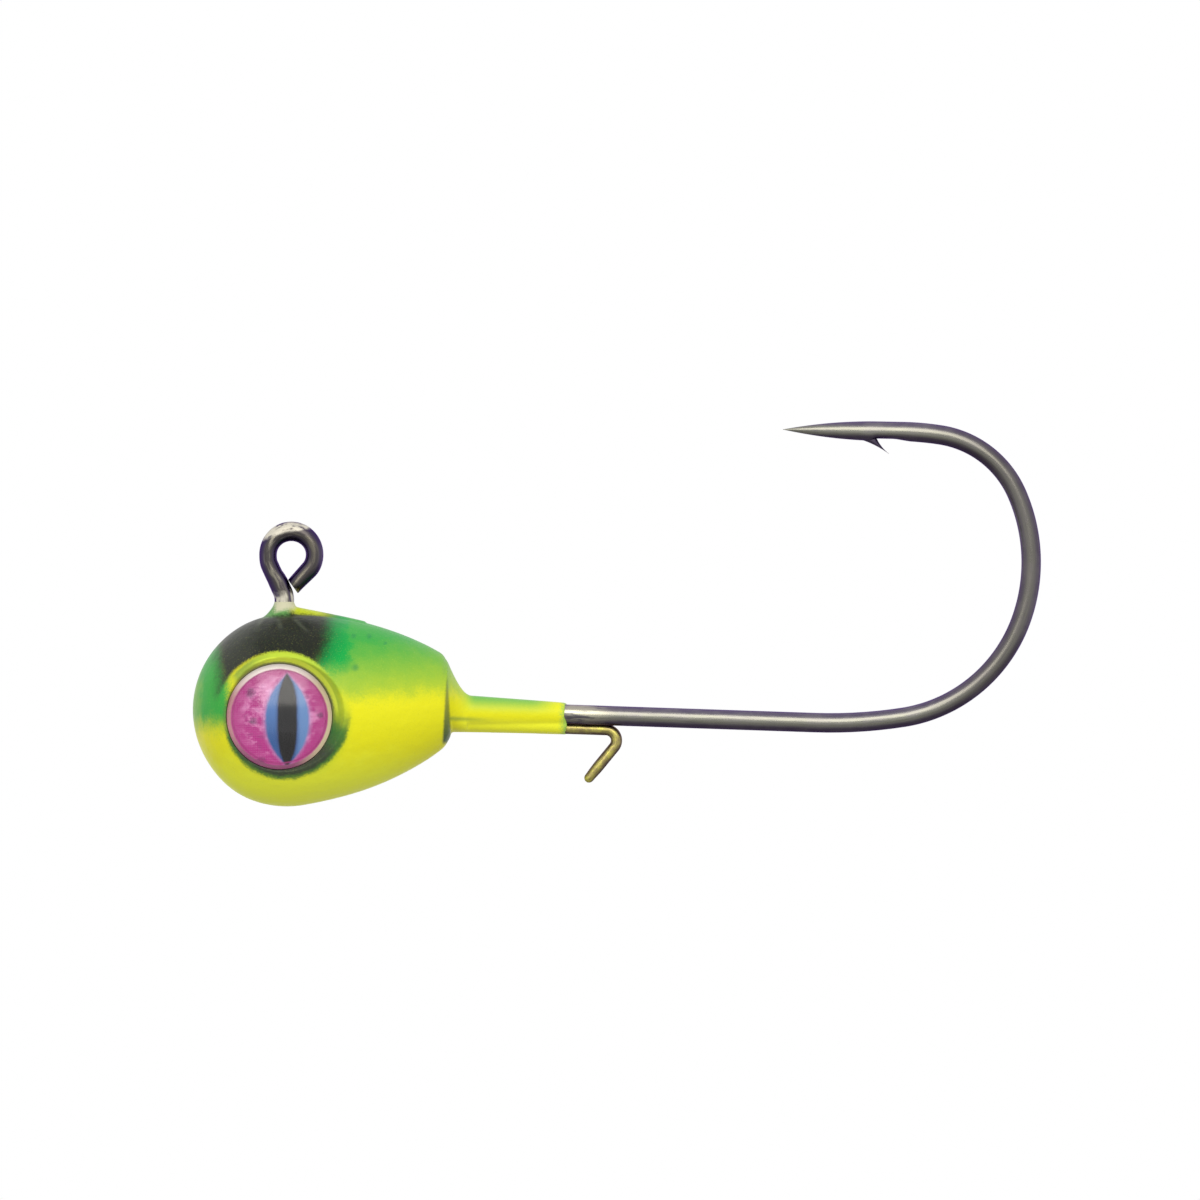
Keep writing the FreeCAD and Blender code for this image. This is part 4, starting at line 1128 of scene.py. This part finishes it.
def make_studio():
    """A pale floor that fades into a white surround, one soft lamp above the camera, and the camera."""
    scene = bpy.context.scene
    world = bpy.data.worlds.new("studio")
    scene.world = world
    world.use_nodes = True
    nodes, links = world.node_tree.nodes, world.node_tree.links
    path = nodes.new("ShaderNodeLightPath").outputs
    seen = path["Is Camera Ray"]
    for also in ("Is Glossy Ray", "Is Transmission Ray"):
        either = nodes.new("ShaderNodeMath")
        either.operation = "MAXIMUM"
        links.new(seen, either.inputs[0])
        links.new(path[also], either.inputs[1])
        seen = either.outputs[0]
    strength = nodes.new("ShaderNodeMapRange")
    strength.inputs["To Min"].default_value = WORLD_ON_MATT
    strength.inputs["To Max"].default_value = 1.0
    links.new(seen, strength.inputs["Value"])
    background = nodes["Background"]
    background.inputs["Color"].default_value = (1, 1, 1, 1)
    links.new(strength.outputs[0], background.inputs["Strength"])

    below = Vector((MIDDLE.x, 0, FLOOR_HEIGHT))
    rim = circle(below, X_AXIS, Y_AXIS, FLOOR_RADIUS, FLOOR_SIDES)
    wedges = [(0, k + 1, (k + 1) % FLOOR_SIDES + 1) for k in range(FLOOR_SIDES)]
    floor = mesh_object("floor", [below, *rim], wedges)
    f = Finish("floor")
    mottle = f.noise(f.space(), 0.05, 3.0)
    f.set(Base_Color=f.mix(mottle, (0.46, 0.46, 0.46), (0.52, 0.52, 0.52)), Roughness=0.9)
    place = f.node("ShaderNodeTexCoord").outputs["Object"]
    away = f.node("ShaderNodeVectorMath", place, tuple(below), operation="DISTANCE")
    fade = f.step(away.outputs["Value"], FLOOR_FADE_START, FLOOR_RADIUS)
    clear = f.node("ShaderNodeBsdfTransparent")
    mix = f.node("ShaderNodeMixShader", fade, f.shader.outputs[0], clear.outputs[0])
    f.put(f.output.inputs["Surface"], mix.outputs[0])
    floor.data.materials.append(f.material)

    lamp = bpy.data.lights.new("key", "AREA")
    lamp.shape = "RECTANGLE"
    lamp.size, lamp.size_y = 2 * KEY_HALF_WIDTH, 2 * KEY_HALF_HEIGHT
    lamp.energy = KEY_RADIANCE * pi * lamp.size * lamp.size_y
    lamp.color = KEY_COLOUR
    key = bpy.data.objects.new("key", lamp)
    towards = Vector((0, -cos(KEY_ELEVATION), sin(KEY_ELEVATION)))
    key.location = MIDDLE + towards * KEY_DISTANCE
    key.rotation_euler = towards.to_track_quat("Z", "Y").to_euler()
    key.visible_camera = False
    scene.collection.objects.link(key)

    camera = bpy.data.objects.new("camera", bpy.data.cameras.new("camera"))
    camera.data.lens = LENS
    camera.data.sensor_width = SENSOR
    camera.data.clip_start = 0.01
    camera.location = MIDDLE - Vector((0, CAMERA_DISTANCE, 0))
    camera.rotation_euler = (pi / 2, 0, 0)
    scene.collection.objects.link(camera)
    scene.camera = camera
    scene.view_settings.view_transform = "Standard"


# ---------------------------------------------------------------- assembly

def finished(obj, material, slot, *nodes):
    """Give a new piece its finish, hang it on the root body, and hide the CAD nodes it takes the place
    of.
    """
    obj.data.materials.clear()
    obj.data.materials.append(material)
    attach(obj, "root")
    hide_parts(*nodes)


def repaint(node, material):
    """Give a CAD node a finish in place of its plain one."""
    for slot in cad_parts[node].material_slots:
        slot.material = material


def main():
    """The studio, the remade pieces in place of their CAD nodes, and the finish of the kept nodes."""
    make_studio()
    finished(make_hook(), black_nickel(), "black_nickel", "hook")
    finished(make_keeper(), brass(), "brass_wire", "bait_keeper")
    head = make_head()
    finished(make_core(head), lead(), "lead", "head_casting")
    finished(head, head_paint(), "head_paint", "paint_coat")
    clear, pad, foil = resin(), adhesive(), eye_print()
    for name, side in (("left", -1), ("right", 1)):
        finished(make_dome(side, f"clear_dome_{name}"), clear, "eye_resin", f"eye_dome_{name}")
        repaint(f"eye_pad_{name}", pad)
        repaint(f"eye_film_{name}", foil)


main()
